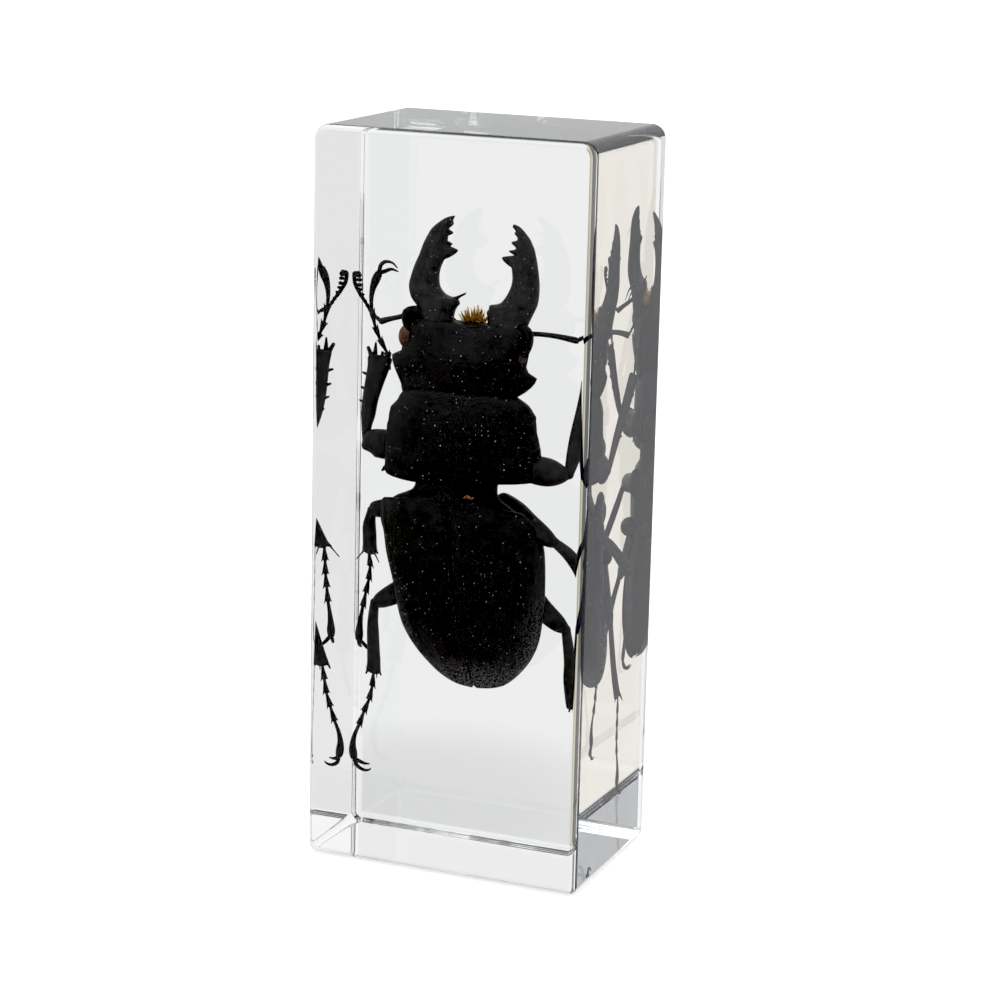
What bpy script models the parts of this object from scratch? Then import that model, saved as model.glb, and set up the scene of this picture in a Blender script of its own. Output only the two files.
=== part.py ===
# A stag beetle sealed in a clear cast block that stands on its narrow end.
#
# Millimetres, x to the right, y into the block from its front, z up, with the origin at the middle
# of the base. The beetle's back faces the front. The clear block is parted in two behind the front
# of the pocket that holds the beetle, because a closed pocket could not be reached.
import math

import bmesh
import bpy
from mathutils import Matrix, Vector

MM = 0.001

# Block
WIDTH = 43.5
DEPTH = 29.3
HEIGHT = 110.0
TOP_CORNER = 2.2          # round corners of the face outline
BASE_CORNER = 1.3
EDGE_ROUND = 1.0          # softened rim of the front and rear faces
ROUND_STEPS = 3           # BASE_CORNER takes one fewer
PARTING = 4.0             # depth of the joint between the two parts
JOINT_GAP = 0.3

# Pocket: a loose outline round the beetle, drawn on the face and cut along y
POCKET_FRONT = -7.4
POCKET_REAR = 11.2
POCKET_SIDE = 21.25       # just outside the feet
POCKET_FOOT = 8.2
POCKET_CROTCH = 24.6      # under the tip of the wing cases
POCKET_CROTCH_HALF = 14.5
POCKET_CROTCH_SHIFT = 0.6
POCKET_ANTENNA_TOP = 89.8
POCKET_JAW_LEFT = -12.2
POCKET_JAW_RIGHT = 10.2
POCKET_TOP = 97.4

BODY_SIDES = 24           # points round a body section
BODY_RINGS = 2            # rings from one body station to the next
BELLY_FULLNESS = 1.4      # 2 is an ellipse, 1 runs straight from the side edge to the middle
JAW_SIDES = 10
LIMB_SIDES = 8
FINE_SIDES = 5

# Body stations: z, left edge, right edge, depth of the side edge, rise of the back, drop of the belly
WING_CASES = [
    (56.2, -8.6, 5.2, -1.6, 3.0, 4.0),
    (55.0, -11.6, 7.6, -1.7, 4.0, 5.2),
    (53.6, -13.3, 9.4, -1.6, 4.7, 6.2),
    (49.0, -13.2, 12.4, -1.1, 5.3, 6.9),
    (45.0, -12.5, 12.6, -0.6, 5.6, 6.9),
    (38.5, -11.4, 11.9, 1.4, 5.6, 5.9),
    (34.0, -10.4, 10.9, 3.0, 5.0, 4.6),
    (31.0, -8.9, 9.4, 3.9, 4.1, 3.6),
    (28.6, -6.4, 7.6, 4.7, 3.0, 2.6),
    (27.0, -3.4, 5.5, 5.1, 1.9, 1.7),
    (26.1, -0.6, 3.9, 5.2, 0.9, 0.8),
]
WAIST = [
    (53.5, -9.6, 5.4, -1.4, 3.0, 4.2),
    (56.5, -8.6, 4.4, -1.3, 3.0, 4.2),
    (59.5, -8.8, 5.0, -1.1, 3.0, 4.4),
]
PRONOTUM = [
    (57.5, -11.6, 9.4, -1.1, 3.0, 3.0),
    (58.5, -12.8, 11.0, -1.1, 3.9, 3.8),
    (61.0, -13.3, 11.7, -1.1, 4.4, 5.0),
    (65.0, -13.2, 11.2, -1.1, 4.6, 6.0),
    (68.5, -12.3, 10.6, -1.0, 4.2, 6.0),
    (70.7, -10.6, 9.3, -0.8, 3.6, 5.2),
    (71.8, -9.0, 7.4, -0.6, 3.1, 4.6),
]
HEAD = [
    (69.4, -9.6, 6.2, 0.2, 3.0, 4.2),
    (71.6, -10.4, 6.9, 0.6, 3.2, 4.6),
    (73.8, -11.4, 8.5, 0.9, 3.5, 4.7),
    (77.0, -11.8, 8.8, 1.4, 3.6, 4.4),
    (79.8, -11.8, 8.7, 1.9, 3.2, 3.9),
    (81.4, -11.4, 7.9, 2.2, 2.4, 3.2),
]

# Jaws: centre, half width, half thickness, from the root to the tip
LEFT_JAW = [
    ((-6.7, 3.0, 79.6), 3.7, 2.2),
    ((-6.9, 3.4, 82.4), 3.4, 2.2),
    ((-8.1, 3.9, 84.8), 2.6, 2.1),
    ((-8.8, 4.4, 87.0), 2.1, 1.9),
    ((-8.5, 4.8, 89.4), 2.0, 1.7),
    ((-7.7, 5.2, 91.7), 1.9, 1.5),
    ((-7.1, 5.6, 93.4), 1.5, 1.3),
    ((-6.2, 5.9, 94.9), 1.0, 1.0),
    ((-5.4, 6.1, 95.7), 0.6, 0.7),
    ((-4.6, 6.2, 96.2), 0.15, 0.2),
]
RIGHT_JAW = [
    ((4.0, 3.0, 79.6), 3.4, 2.2),
    ((4.6, 3.6, 82.4), 2.9, 2.2),
    ((5.9, 4.1, 84.7), 2.5, 2.1),
    ((6.7, 4.6, 86.8), 2.0, 1.9),
    ((6.7, 4.9, 88.9), 1.75, 1.7),
    ((6.1, 5.4, 91.2), 1.9, 1.5),
    ((5.9, 5.8, 92.9), 1.4, 1.3),
    ((5.6, 6.2, 94.1), 0.95, 1.0),
    ((5.0, 6.6, 95.1), 0.5, 0.6),
    ((4.4, 6.8, 95.6), 0.15, 0.2),
]
# Teeth, horns and spurs: root, tip, root radius
JAW_TEETH = [
    ((-6.4, 5.2, 91.8), (-4.1, 5.2, 91.4), 0.8),
    ((-6.2, 5.6, 93.0), (-4.9, 5.6, 92.8), 0.45),
    ((-6.2, 5.8, 94.2), (-5.0, 5.9, 94.0), 0.4),
    ((-5.9, 6.0, 95.2), (-4.8, 6.0, 95.0), 0.35),
    ((-4.9, 3.6, 83.3), (-2.5, 3.6, 85.1), 0.4),
    ((5.2, 5.4, 91.5), (3.2, 5.4, 91.1), 0.8),
    ((5.2, 5.7, 92.6), (4.0, 5.7, 92.2), 0.45),
    ((5.2, 6.0, 93.6), (4.2, 6.0, 93.4), 0.4),
    ((3.8, 3.9, 83.4), (1.5, 3.9, 84.3), 0.9),
]
HORNS = [
    ((-10.6, 1.2, 74.9), (-13.1, 1.2, 76.0), 1.5),    # behind the eyes
    ((7.6, 1.2, 73.9), (10.2, 1.2, 74.3), 1.4),
    ((-11.6, -1.0, 60.4), (-14.2, -1.0, 58.1), 1.6),  # rear corners of the pronotum
    ((10.4, -1.0, 60.6), (12.9, -1.0, 58.6), 1.6),
]
# Rounded lumps: centre, radii
LUMPS = [
    ((-11.0, 1.4, 78.6), (1.3, 1.9, 2.2)),            # eyes
    ((8.3, 1.4, 77.7), (1.2, 1.9, 2.2)),
    ((-9.6, 2.4, 81.2), (2.4, 2.0, 1.6)),             # front corners of the head
    ((6.4, 2.4, 80.7), (2.2, 2.0, 1.6)),
    ((-2.1, -4.2, 54.6), (2.2, 1.2, 1.9)),            # scutellum
    ((-4.6, 4.0, 62.6), (2.6, 2.0, 2.2)),             # hips
    ((2.4, 4.0, 62.6), (2.6, 2.0, 2.2)),
    ((-5.4, 4.4, 53.0), (2.5, 1.7, 2.1)),
    ((3.6, 4.4, 53.4), (2.5, 1.7, 2.1)),
    ((-5.2, 4.9, 46.4), (4.2, 1.9, 1.7)),
    ((5.0, 4.9, 46.4), (4.2, 1.9, 1.7)),
]

# Legs. Each limb is a run of (centre, half width, half thickness).
# A shin's width lies across the leg, towards "wide". Foot: the ends of the five joints.
LEGS = {
    "front_left": {
        "thigh": [((-5.0, 3.6, 62.6), 1.9, 1.7), ((-10.5, 2.2, 62.6), 2.0, 1.8),
                  ((-14.6, 1.0, 62.5), 2.1, 1.9), ((-16.9, 0.8, 61.9), 0.9, 0.9)],
        "shin": [((-16.8, 0.8, 61.2), 0.7, 0.7), ((-17.7, 3.4, 66.0), 1.0, 0.9),
                 ((-17.3, 5.2, 69.6), 1.3, 0.95), ((-16.7, 7.4, 74.5), 1.8, 0.9)],
        "wide": (1, 0, 0.1),
        "teeth": [((-18.0, 7.9, 74.2), (-19.3, 8.3, 75.7), 0.55), ((-16.6, 7.9, 74.0), (-16.9, 8.3, 76.1), 0.5),
                  ((-18.2, 6.3, 71.5), (-19.5, 6.5, 72.0), 0.4), ((-18.3, 5.4, 69.5), (-19.5, 5.6, 69.9), 0.4),
                  ((-18.2, 4.5, 67.4), (-19.3, 4.6, 67.8), 0.35), ((-18.1, 3.9, 65.8), (-18.9, 4.0, 66.1), 0.3)],
        "foot": [(-15.6, 7.6, 74.4), (-16.2, 7.3, 77.2), (-16.9, 7.0, 79.2), (-17.5, 6.8, 81.2),
                 (-17.8, 6.6, 83.2), (-16.6, 7.0, 88.0)],
        "claws": [(-15.4, 6.8, 89.3), (-13.8, 6.6, 88.5)],
        "claw_side": (0.2, 0.9, -0.6),
    },
    "front_right": {
        "thigh": [((3.0, 3.6, 62.4), 1.9, 1.7), ((8.6, 0.6, 62.0), 2.0, 1.8),
                  ((13.4, -1.8, 61.6), 2.1, 1.9), ((16.4, -1.6, 61.6), 1.1, 1.1)],
        "shin": [((16.4, -1.6, 61.2), 0.75, 0.75), ((17.2, 1.2, 66.0), 0.8, 0.75),
                 ((17.7, 3.6, 69.6), 1.0, 0.8), ((18.0, 6.4, 73.6), 1.5, 0.85)],
        "wide": (1, 0.3, -0.1),
        "teeth": [((18.7, 6.2, 72.9), (20.0, 7.4, 74.9), 0.55), ((17.4, 6.2, 73.0), (17.2, 7.2, 75.3), 0.5),
                  ((18.2, 4.6, 70.8), (19.6, 5.3, 71.2), 0.4), ((18.0, 3.4, 69.0), (19.4, 4.1, 69.4), 0.4),
                  ((17.7, 2.1, 67.0), (18.9, 2.7, 67.3), 0.35), ((17.4, 1.0, 65.4), (18.4, 1.6, 65.7), 0.3)],
        "foot": [(17.4, 6.7, 73.6), (17.8, 6.9, 75.9), (18.0, 6.6, 77.9), (18.0, 6.1, 79.9),
                 (17.9, 5.8, 81.8), (18.0, 6.8, 86.2)],
        "claws": [(17.6, 4.4, 87.0), (17.2, 1.8, 85.4)],
        "claw_side": (0.9, 0.2, -0.5),
    },
    "mid_left": {
        "thigh": [((-6.0, 4.0, 53.0), 1.7, 1.5), ((-11.5, 2.6, 52.2), 1.6, 1.4),
                  ((-14.8, 1.0, 52.0), 1.5, 1.3), ((-16.4, 0.7, 51.3), 0.9, 0.9)],
        "shin": [((-16.4, 0.7, 51.2), 0.8, 0.8), ((-17.0, 3.0, 48.8), 0.95, 0.9),
                 ((-17.3, 5.0, 46.4), 1.1, 0.9), ((-17.6, 6.8, 44.2), 1.4, 0.9)],
        "wide": (1, 0, 0),
        "teeth": [((-18.2, 6.8, 44.6), (-20.2, 7.6, 42.8), 0.4), ((-16.9, 6.8, 44.6), (-16.4, 7.6, 42.6), 0.35),
                  ((-18.1, 4.6, 46.8), (-19.0, 4.8, 46.2), 0.3)],
        "foot": [(-17.9, 7.2, 44.2), (-18.1, 7.6, 41.6), (-18.3, 7.4, 39.8), (-18.7, 7.0, 38.0),
                 (-19.1, 6.6, 36.0), (-19.7, 6.6, 31.0)],
        "claws": [(-19.8, 7.6, 29.6), (-20.2, 8.8, 28.9)],
        "claw_side": (1, 0, 0),
    },
    "mid_right": {
        "thigh": [((4.2, 4.0, 53.4), 1.7, 1.5), ((8.4, 0.8, 53.6), 1.6, 1.4),
                  ((12.0, -1.4, 51.8), 1.5, 1.3), ((14.1, -1.6, 50.6), 0.9, 0.9)],
        "shin": [((14.2, -1.4, 50.6), 0.7, 0.7), ((15.2, 1.6, 48.5), 0.85, 0.8),
                 ((16.2, 4.8, 46.0), 1.1, 0.85), ((17.0, 7.2, 44.0), 1.3, 0.9)],
        "wide": (0.5, 0.3, 0.7),
        "teeth": [((17.6, 7.2, 43.8), (19.2, 8.0, 42.6), 0.35), ((16.8, 7.6, 44.2), (16.6, 9.2, 43.4), 0.35)],
        "foot": [(17.3, 7.2, 43.8), (17.9, 6.7, 41.6), (18.3, 6.3, 39.8), (18.7, 5.8, 37.9),
                 (19.0, 5.1, 36.2), (19.4, 4.4, 31.0)],
        "claws": [(19.5, 5.4, 29.2), (19.5, 7.6, 29.2)],
        "claw_side": (1, 0.2, 0),
    },
    "hind_left": {
        "thigh": [((-5.6, 4.8, 46.2), 1.7, 1.5), ((-9.6, 4.2, 41.6), 1.8, 1.5),
                  ((-13.4, 2.4, 38.4), 1.6, 1.4), ((-15.6, 1.6, 37.4), 0.9, 0.9)],
        "shin": [((-15.7, 1.7, 37.4), 0.75, 0.75), ((-16.5, 3.8, 33.8), 0.95, 0.85),
                 ((-17.0, 6.2, 29.4), 1.0, 0.85), ((-17.4, 8.6, 25.2), 1.2, 0.9)],
        "wide": (1, 0, 0),
        "teeth": [((-18.0, 8.4, 25.6), (-18.9, 8.9, 24.4), 0.35), ((-16.7, 8.4, 25.6), (-16.1, 8.9, 24.4), 0.35)],
        "foot": [(-17.4, 8.5, 25.2), (-17.9, 8.9, 22.8), (-18.4, 8.7, 20.9), (-19.1, 8.4, 19.0),
                 (-19.9, 8.3, 17.0), (-20.6, 8.4, 12.1)],
        "claws": [(-20.0, 9.2, 10.4), (-18.3, 10.0, 9.9)],
        "claw_side": (0.2, -0.5, 0.8),
    },
    "hind_right": {
        "thigh": [((5.4, 4.8, 46.2), 1.7, 1.5), ((9.8, 3.4, 42.4), 1.9, 1.6),
                  ((13.4, 2.2, 39.6), 1.7, 1.5), ((15.8, 1.4, 38.0), 0.9, 0.9)],
        "shin": [((15.8, 1.4, 37.9), 0.7, 0.7), ((16.3, 2.0, 33.8), 0.75, 0.75),
                 ((16.9, 3.4, 29.4), 0.85, 0.8), ((17.4, 4.8, 25.0), 1.05, 0.85)],
        "wide": (0.8, 0.5, 0),
        "teeth": [((18.0, 5.0, 25.4), (18.9, 5.8, 24.2), 0.35), ((17.0, 4.6, 25.4), (16.4, 4.2, 24.2), 0.35)],
        "foot": [(17.6, 4.7, 25.0), (18.0, 4.3, 22.4), (18.2, 4.0, 20.4), (18.4, 3.8, 18.4),
                 (18.6, 3.8, 16.4), (19.0, 3.9, 11.6)],
        "claws": [(19.2, 4.3, 10.2), (19.3, 5.4, 9.4)],
        "claw_side": (0.9, -0.3, 0),
    },
}

# Feelers: root, elbow, the bead chain up to the club, then the club's tip and where its leaves point
ANTENNAE = {
    "left": {"scape": [(-10.6, 2.2, 81.6), (-13.4, 3.6, 81.2), (-16.0, 5.2, 80.0)],
             "chain": [(-16.0, 5.2, 80.0), (-17.6, 5.8, 81.8), (-19.2, 6.6, 83.2)],
             "club": [(-19.2, 6.6, 83.2), (-20.2, 7.0, 85.2), (-20.4, 7.2, 87.0)],
             "leaf": (1.0, 0.3, 0.35)},
    "right": {"scape": [(7.8, 2.0, 81.0), (11.6, 3.8, 80.9), (15.5, 5.9, 79.8)],
              "chain": [(15.5, 5.9, 79.8), (17.0, 6.0, 81.6), (18.6, 6.6, 83.2)],
              "club": [(18.6, 6.6, 83.2), (19.6, 7.0, 85.2), (19.8, 7.2, 87.0)],
              "leaf": (-1.0, 0.3, 0.35)},
}
SCAPE_RADIUS = 0.45
CHAIN_RADIUS = 0.4
CHAIN_BEADS = 4
CLUB_RADIUS = 0.4
CLUB_LEAVES = 4
LEAF_LENGTH = 1.6
LEAF_RADII = (0.45, 0.5)

FOOT_ROOT_RADIUS = 0.32       # each foot joint widens from its root to its end
FOOT_END_RADIUS = 0.58
LAST_JOINT_RADII = (0.3, 0.4, 0.62)
CLAW_RADII = (0.32, 0.26, 0.1)
CLAW_SPREAD = 0.42


def clear_scene():
    for thing in list(bpy.data.objects):
        bpy.data.objects.remove(thing, do_unlink=True)


def collection(name):
    made = bpy.data.collections.new(name)
    bpy.context.scene.collection.children.link(made)
    return made


def material(name, colour, roughness, transmission=0.0, ior=1.5):
    made = bpy.data.materials.new(name)
    made.use_nodes = True
    shader = made.node_tree.nodes["Principled BSDF"]
    shader.inputs["Base Color"].default_value = (*colour, 1.0)
    shader.inputs["Roughness"].default_value = roughness
    shader.inputs["Metallic"].default_value = 0.0
    shader.inputs["Transmission Weight"].default_value = transmission
    shader.inputs["IOR"].default_value = ior
    return made


def add_object(name, bm, where, finish=None):
    bmesh.ops.recalc_face_normals(bm, faces=bm.faces)
    mesh = bpy.data.meshes.new(name)
    bm.to_mesh(mesh)
    bm.free()
    made = bpy.data.objects.new(name, mesh)
    where.objects.link(made)
    if finish:
        mesh.materials.append(finish)
    return made


def hide(made):
    made.hide_render = True
    made.display_type = 'WIRE'


def blend(a, b, c, d, t):
    """Catmull-Rom value between b and c."""
    return 0.5 * (2 * b + (c - a) * t + (2 * a - 5 * b + 4 * c - d) * t * t + (3 * b - a - 3 * c + d) * t ** 3)


def smooth_run(rows, steps):
    """Fill in rows of numbers along a smooth curve through them."""
    run = []
    last = len(rows) - 1
    for i in range(last):
        around = [rows[max(i - 1, 0)], rows[i], rows[i + 1], rows[min(i + 2, last)]]
        for step in range(steps):
            run.append([blend(*values, step / steps) for values in zip(*around)])
    run.append(list(rows[last]))
    return run


def skin(name, rings, where):
    """Close a run of rings, all with the same number of points, into one solid."""
    bm = bmesh.new()
    loops = [[bm.verts.new(point * MM) for point in ring] for ring in rings]
    for near, far in zip(loops, loops[1:]):
        for i in range(len(near)):
            j = (i + 1) % len(near)
            bm.faces.new((near[i], near[j], far[j], far[i]))
    bm.faces.new(loops[0])
    bm.faces.new(loops[-1])
    return add_object(name, bm, where)


def body(name, stations, where):
    rings = []
    for z, left, right, edge, rise, drop in smooth_run(stations, BODY_RINGS):
        middle, half = (left + right) / 2, (right - left) / 2
        ring = []
        for i in range(BODY_SIDES):
            turn = 2 * math.pi * i / BODY_SIDES
            x, y = math.cos(turn), math.sin(turn)
            if y < 0:
                x = math.copysign(abs(x) ** (2 / BELLY_FULLNESS), x)
                y = -abs(y) ** (2 / BELLY_FULLNESS)
            height = rise if y > 0 else drop
            ring.append(Vector((middle + half * x, edge - height * y, z)))
        rings.append(ring)
    return skin(name, rings, where)


def limb(name, run, wide, sides, steps, where):
    """A tapered oval rod along (centre, half width, half thickness) rows."""
    rows = smooth_run([(*centre, width, thick) for centre, width, thick in run], steps)
    centres = [Vector(row[:3]) for row in rows]
    rings = []
    for i, row in enumerate(rows):
        along = (centres[min(i + 1, len(rows) - 1)] - centres[max(i - 1, 0)]).normalized()
        across = (Vector(wide) - along * along.dot(Vector(wide))).normalized()
        through = along.cross(across)
        ring = []
        for k in range(sides):
            turn = 2 * math.pi * k / sides
            ring.append(centres[i] + across * row[3] * math.cos(turn) + through * row[4] * math.sin(turn))
        rings.append(ring)
    return skin(name, rings, where)


def rod(name, points, radii, where, steps=1, sides=FINE_SIDES):
    lean = Vector(points[-1]) - Vector(points[0])
    wide = (0, 1, 0) if abs(lean.y) < max(abs(lean.x), abs(lean.z)) else (1, 0, 0)
    return limb(name, [(p, r, r) for p, r in zip(points, radii)], wide, sides, steps, where)


def spike(name, root, tip, radius, where, sides=FINE_SIDES):
    lean = Vector(tip) - Vector(root)
    turn = Vector((0, 0, 1)).rotation_difference(lean).to_matrix().to_4x4()
    bm = bmesh.new()
    place = Matrix.Translation((Vector(root) + lean / 2) * MM) @ turn
    bmesh.ops.create_cone(bm, cap_ends=True, segments=sides, radius1=radius * MM,
                          radius2=radius * MM * 0.12, depth=lean.length * MM, matrix=place)
    return add_object(name, bm, where)


def lump(name, centre, radii, where):
    bm = bmesh.new()
    place = Matrix.Translation(Vector(centre) * MM) @ Matrix.Diagonal((*(r * MM for r in radii), 1))
    bmesh.ops.create_uvsphere(bm, u_segments=12, v_segments=8, radius=1, matrix=place)
    return add_object(name, bm, where)


def foot(name, joints, claws, claw_side, where):
    """Four bell-shaped joints, a long last joint and its pair of hooked claws."""
    for i in range(4):
        root, end = Vector(joints[i]), Vector(joints[i + 1])
        back = root - (end - root).normalized() * 0.3
        rod(f"{name}_joint_{i + 1}", [back, end], [FOOT_ROOT_RADIUS, FOOT_END_RADIUS], where)
    root, end = Vector(joints[4]), Vector(joints[5])
    back = root - (end - root).normalized() * 0.3
    middle = root.lerp(end, 0.55)
    rod(f"{name}_joint_5", [back, middle, end], LAST_JOINT_RADII, where, steps=2)
    for side in (-1, 1):
        spread = Vector(claw_side).normalized() * CLAW_SPREAD * side
        run = [end - (end - root).normalized() * 0.3, Vector(claws[0]) + spread, Vector(claws[1]) + 2 * spread]
        rod(f"{name}_claw_{side}", run, CLAW_RADII, where, steps=2)


def leg(name, parts, where):
    limb(name + "_thigh", parts["thigh"], (0, 0, 1), LIMB_SIDES, 2, where)
    limb(name + "_shin", parts["shin"], parts["wide"], LIMB_SIDES, 1, where)
    for i, (root, tip, radius) in enumerate(parts["teeth"]):
        spike(f"{name}_tooth_{i + 1}", root, tip, radius, where)
    foot(name + "_foot", parts["foot"], parts["claws"], parts["claw_side"], where)


def along_run(points, share):
    """The point at a share of the way along a bent line."""
    spot = share * (len(points) - 1)
    i = min(int(spot), len(points) - 2)
    return Vector(points[i]).lerp(Vector(points[i + 1]), spot - i)


def antenna(name, parts, where):
    rod(name + "_scape", parts["scape"], [SCAPE_RADIUS * 0.8, SCAPE_RADIUS * 0.8, SCAPE_RADIUS * 1.3],
        where, steps=2)
    for i in range(CHAIN_BEADS):
        root = along_run(parts["chain"], i / CHAIN_BEADS)
        end = along_run(parts["chain"], (i + 1) / CHAIN_BEADS)
        back = root - (end - root).normalized() * 0.25
        rod(f"{name}_bead_{i + 1}", [back, end], [CHAIN_RADIUS * 0.7, CHAIN_RADIUS * 1.15], where)
    rod(name + "_club", parts["club"], [CLUB_RADIUS] * 3, where, steps=2)
    for i in range(CLUB_LEAVES):
        share = (i + 0.6) / CLUB_LEAVES
        root = along_run(parts["club"], min(share, 0.96))
        reach = Vector(parts["leaf"]).normalized() * LEAF_LENGTH * (0.7 + 0.3 * share)
        middle, tip = root + reach * 0.55, root + reach
        rod(f"{name}_leaf_{i + 1}", [root, middle, tip], [LEAF_RADII[0], LEAF_RADII[1], LEAF_RADII[0]], where)


def beetle(parts, pieces, finish):
    core = body("stag_beetle", WING_CASES, parts)
    body("waist", WAIST, pieces)
    body("pronotum", PRONOTUM, pieces)
    body("head", HEAD, pieces)
    limb("left_jaw", LEFT_JAW, (1, 0, 0), JAW_SIDES, 2, pieces)
    limb("right_jaw", RIGHT_JAW, (1, 0, 0), JAW_SIDES, 2, pieces)
    for i, (root, tip, radius) in enumerate(JAW_TEETH + HORNS):
        spike(f"spike_{i + 1}", root, tip, radius, pieces, LIMB_SIDES)
    for i, (centre, radii) in enumerate(LUMPS):
        lump(f"lump_{i + 1}", centre, radii, pieces)
    for name, leg_parts in LEGS.items():
        leg(name, leg_parts, pieces)
    for name, antenna_parts in ANTENNAE.items():
        antenna("antenna_" + name, antenna_parts, pieces)
    fuse(core, pieces)
    core.data.materials.clear()
    core.data.materials.append(finish)
    return core


def fuse(core, pieces):
    """Join every loose shape of a collection to the core, then drop the loose shapes."""
    union = core.modifiers.new("union", 'BOOLEAN')
    union.operation = 'UNION'
    union.operand_type = 'COLLECTION'
    union.collection = pieces
    union.solver = 'EXACT'
    union.use_self = True
    joined = bpy.data.meshes.new_from_object(core.evaluated_get(bpy.context.evaluated_depsgraph_get()))
    core.modifiers.clear()
    core.data = joined
    for piece in list(pieces.objects):
        bpy.data.objects.remove(piece, do_unlink=True)
    bpy.data.collections.remove(pieces)


def edges_where(bm, test, along_depth=False):
    """Edges whose two ends pass the test, or only those of them that run from front to back."""
    found = [edge for edge in bm.edges if all(test(vert.co / MM) for vert in edge.verts)]
    if along_depth:
        found = [edge for edge in found if abs(edge.verts[0].co.x - edge.verts[1].co.x) < 0.01 * MM]
    return found


def round_edges(bm, edges, radius, steps=ROUND_STEPS):
    bmesh.ops.bevel(bm, geom=edges, offset=radius * MM, segments=steps, profile=0.5, affect='EDGES')


def half_block(name, near, far, finish, parts):
    """One part of the cast block, from depth near to depth far, flat at the joint."""
    bm = bmesh.new()
    size = Matrix.Diagonal((WIDTH * MM, (far - near) * MM, HEIGHT * MM, 1))
    middle = Matrix.Translation(Vector((0, (near + far) / 2, HEIGHT / 2)) * MM)
    bmesh.ops.create_cube(bm, size=1, matrix=middle @ size)
    half = WIDTH / 2 - 0.01
    face = DEPTH / 2 - 0.01
    round_edges(bm, edges_where(bm, lambda p: abs(p.x) > half and p.z > HEIGHT - 0.01, True), TOP_CORNER)
    round_edges(bm, edges_where(bm, lambda p: abs(p.x) > half and p.z < 0.01, True), BASE_CORNER,
                ROUND_STEPS - 1)
    round_edges(bm, edges_where(bm, lambda p: abs(p.y) > face), EDGE_ROUND)
    return add_object(name, bm, parts, finish)


def pocket_outline():
    left, right = -POCKET_CROTCH_HALF + POCKET_CROTCH_SHIFT, POCKET_CROTCH_HALF + POCKET_CROTCH_SHIFT
    return [(-POCKET_SIDE, POCKET_FOOT), (left, POCKET_FOOT), (left, POCKET_CROTCH),
            (right, POCKET_CROTCH), (right, POCKET_FOOT), (POCKET_SIDE, POCKET_FOOT),
            (POCKET_SIDE, POCKET_ANTENNA_TOP), (POCKET_JAW_RIGHT, POCKET_ANTENNA_TOP),
            (POCKET_JAW_RIGHT, POCKET_TOP), (POCKET_JAW_LEFT, POCKET_TOP),
            (POCKET_JAW_LEFT, POCKET_ANTENNA_TOP), (-POCKET_SIDE, POCKET_ANTENNA_TOP)]


def pocket(cutters):
    bm = bmesh.new()
    floor = bm.faces.new([bm.verts.new((x * MM, POCKET_FRONT * MM, z * MM)) for x, z in pocket_outline()])
    pushed = bmesh.ops.extrude_face_region(bm, geom=[floor])["geom"]
    moved = [item for item in pushed if isinstance(item, bmesh.types.BMVert)]
    bmesh.ops.translate(bm, verts=moved, vec=(0, (POCKET_REAR - POCKET_FRONT) * MM, 0))
    made = add_object("pocket", bm, cutters)
    hide(made)
    return made


def cut_out(thing, cutter):
    cut = thing.modifiers.new("pocket", 'BOOLEAN')
    cut.operation = 'DIFFERENCE'
    cut.object = cutter
    cut.solver = 'EXACT'


clear_scene()
parts = collection("insect_in_resin_block")
cutters = collection("cutters")
pieces = collection("pieces")
clear_resin = material("clear_resin", (0.97, 0.97, 0.95), 0.02, transmission=1.0, ior=1.555)
black_shell = material("black_shell", (0.012, 0.011, 0.012), 0.35)

hollow = pocket(cutters)
joints = (PARTING - JOINT_GAP / 2, PARTING + JOINT_GAP / 2)
cut_out(half_block("resin_front", -DEPTH / 2, joints[0], clear_resin, parts), hollow)
cut_out(half_block("resin_back", joints[1], DEPTH / 2, clear_resin, parts), hollow)
beetle(parts, pieces, black_shell)
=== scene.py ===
import math
import random

import bmesh
import bpy
from mathutils import Matrix, Vector


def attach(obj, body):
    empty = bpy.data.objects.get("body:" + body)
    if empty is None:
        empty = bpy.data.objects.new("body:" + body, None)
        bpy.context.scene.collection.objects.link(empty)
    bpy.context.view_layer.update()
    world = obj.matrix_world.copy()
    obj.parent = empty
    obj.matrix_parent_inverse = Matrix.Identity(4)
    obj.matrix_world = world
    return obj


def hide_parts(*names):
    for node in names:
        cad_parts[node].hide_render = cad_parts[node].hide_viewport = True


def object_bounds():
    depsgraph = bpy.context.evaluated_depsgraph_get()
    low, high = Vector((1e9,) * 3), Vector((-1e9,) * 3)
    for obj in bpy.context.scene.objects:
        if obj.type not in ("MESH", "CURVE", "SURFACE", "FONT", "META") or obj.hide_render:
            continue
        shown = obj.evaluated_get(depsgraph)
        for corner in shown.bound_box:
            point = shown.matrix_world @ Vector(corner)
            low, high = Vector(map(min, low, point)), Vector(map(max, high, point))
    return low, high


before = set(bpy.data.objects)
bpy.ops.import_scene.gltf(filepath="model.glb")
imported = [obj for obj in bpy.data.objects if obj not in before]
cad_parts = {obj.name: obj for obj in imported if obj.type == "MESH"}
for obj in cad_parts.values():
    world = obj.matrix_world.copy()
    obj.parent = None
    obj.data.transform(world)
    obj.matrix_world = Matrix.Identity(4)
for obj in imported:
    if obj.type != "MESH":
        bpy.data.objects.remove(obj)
cadBox = [list(corner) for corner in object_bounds()]
blockLow, blockHigh = Vector(cadBox[0]), Vector(cadBox[1])
mm = 0.001  # every size below is in millimetres, in the frame's own axes
scene = bpy.context.scene
chance = random.Random(7)


# small tools

def mix(a, b, t):
    return a + (b - a) * t


def smoothStep(t):
    t = min(max(t, 0.0), 1.0)
    return t * t * (3 - 2 * t)


def bell(distance, width):
    return math.exp(-(distance / width) ** 2)


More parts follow.
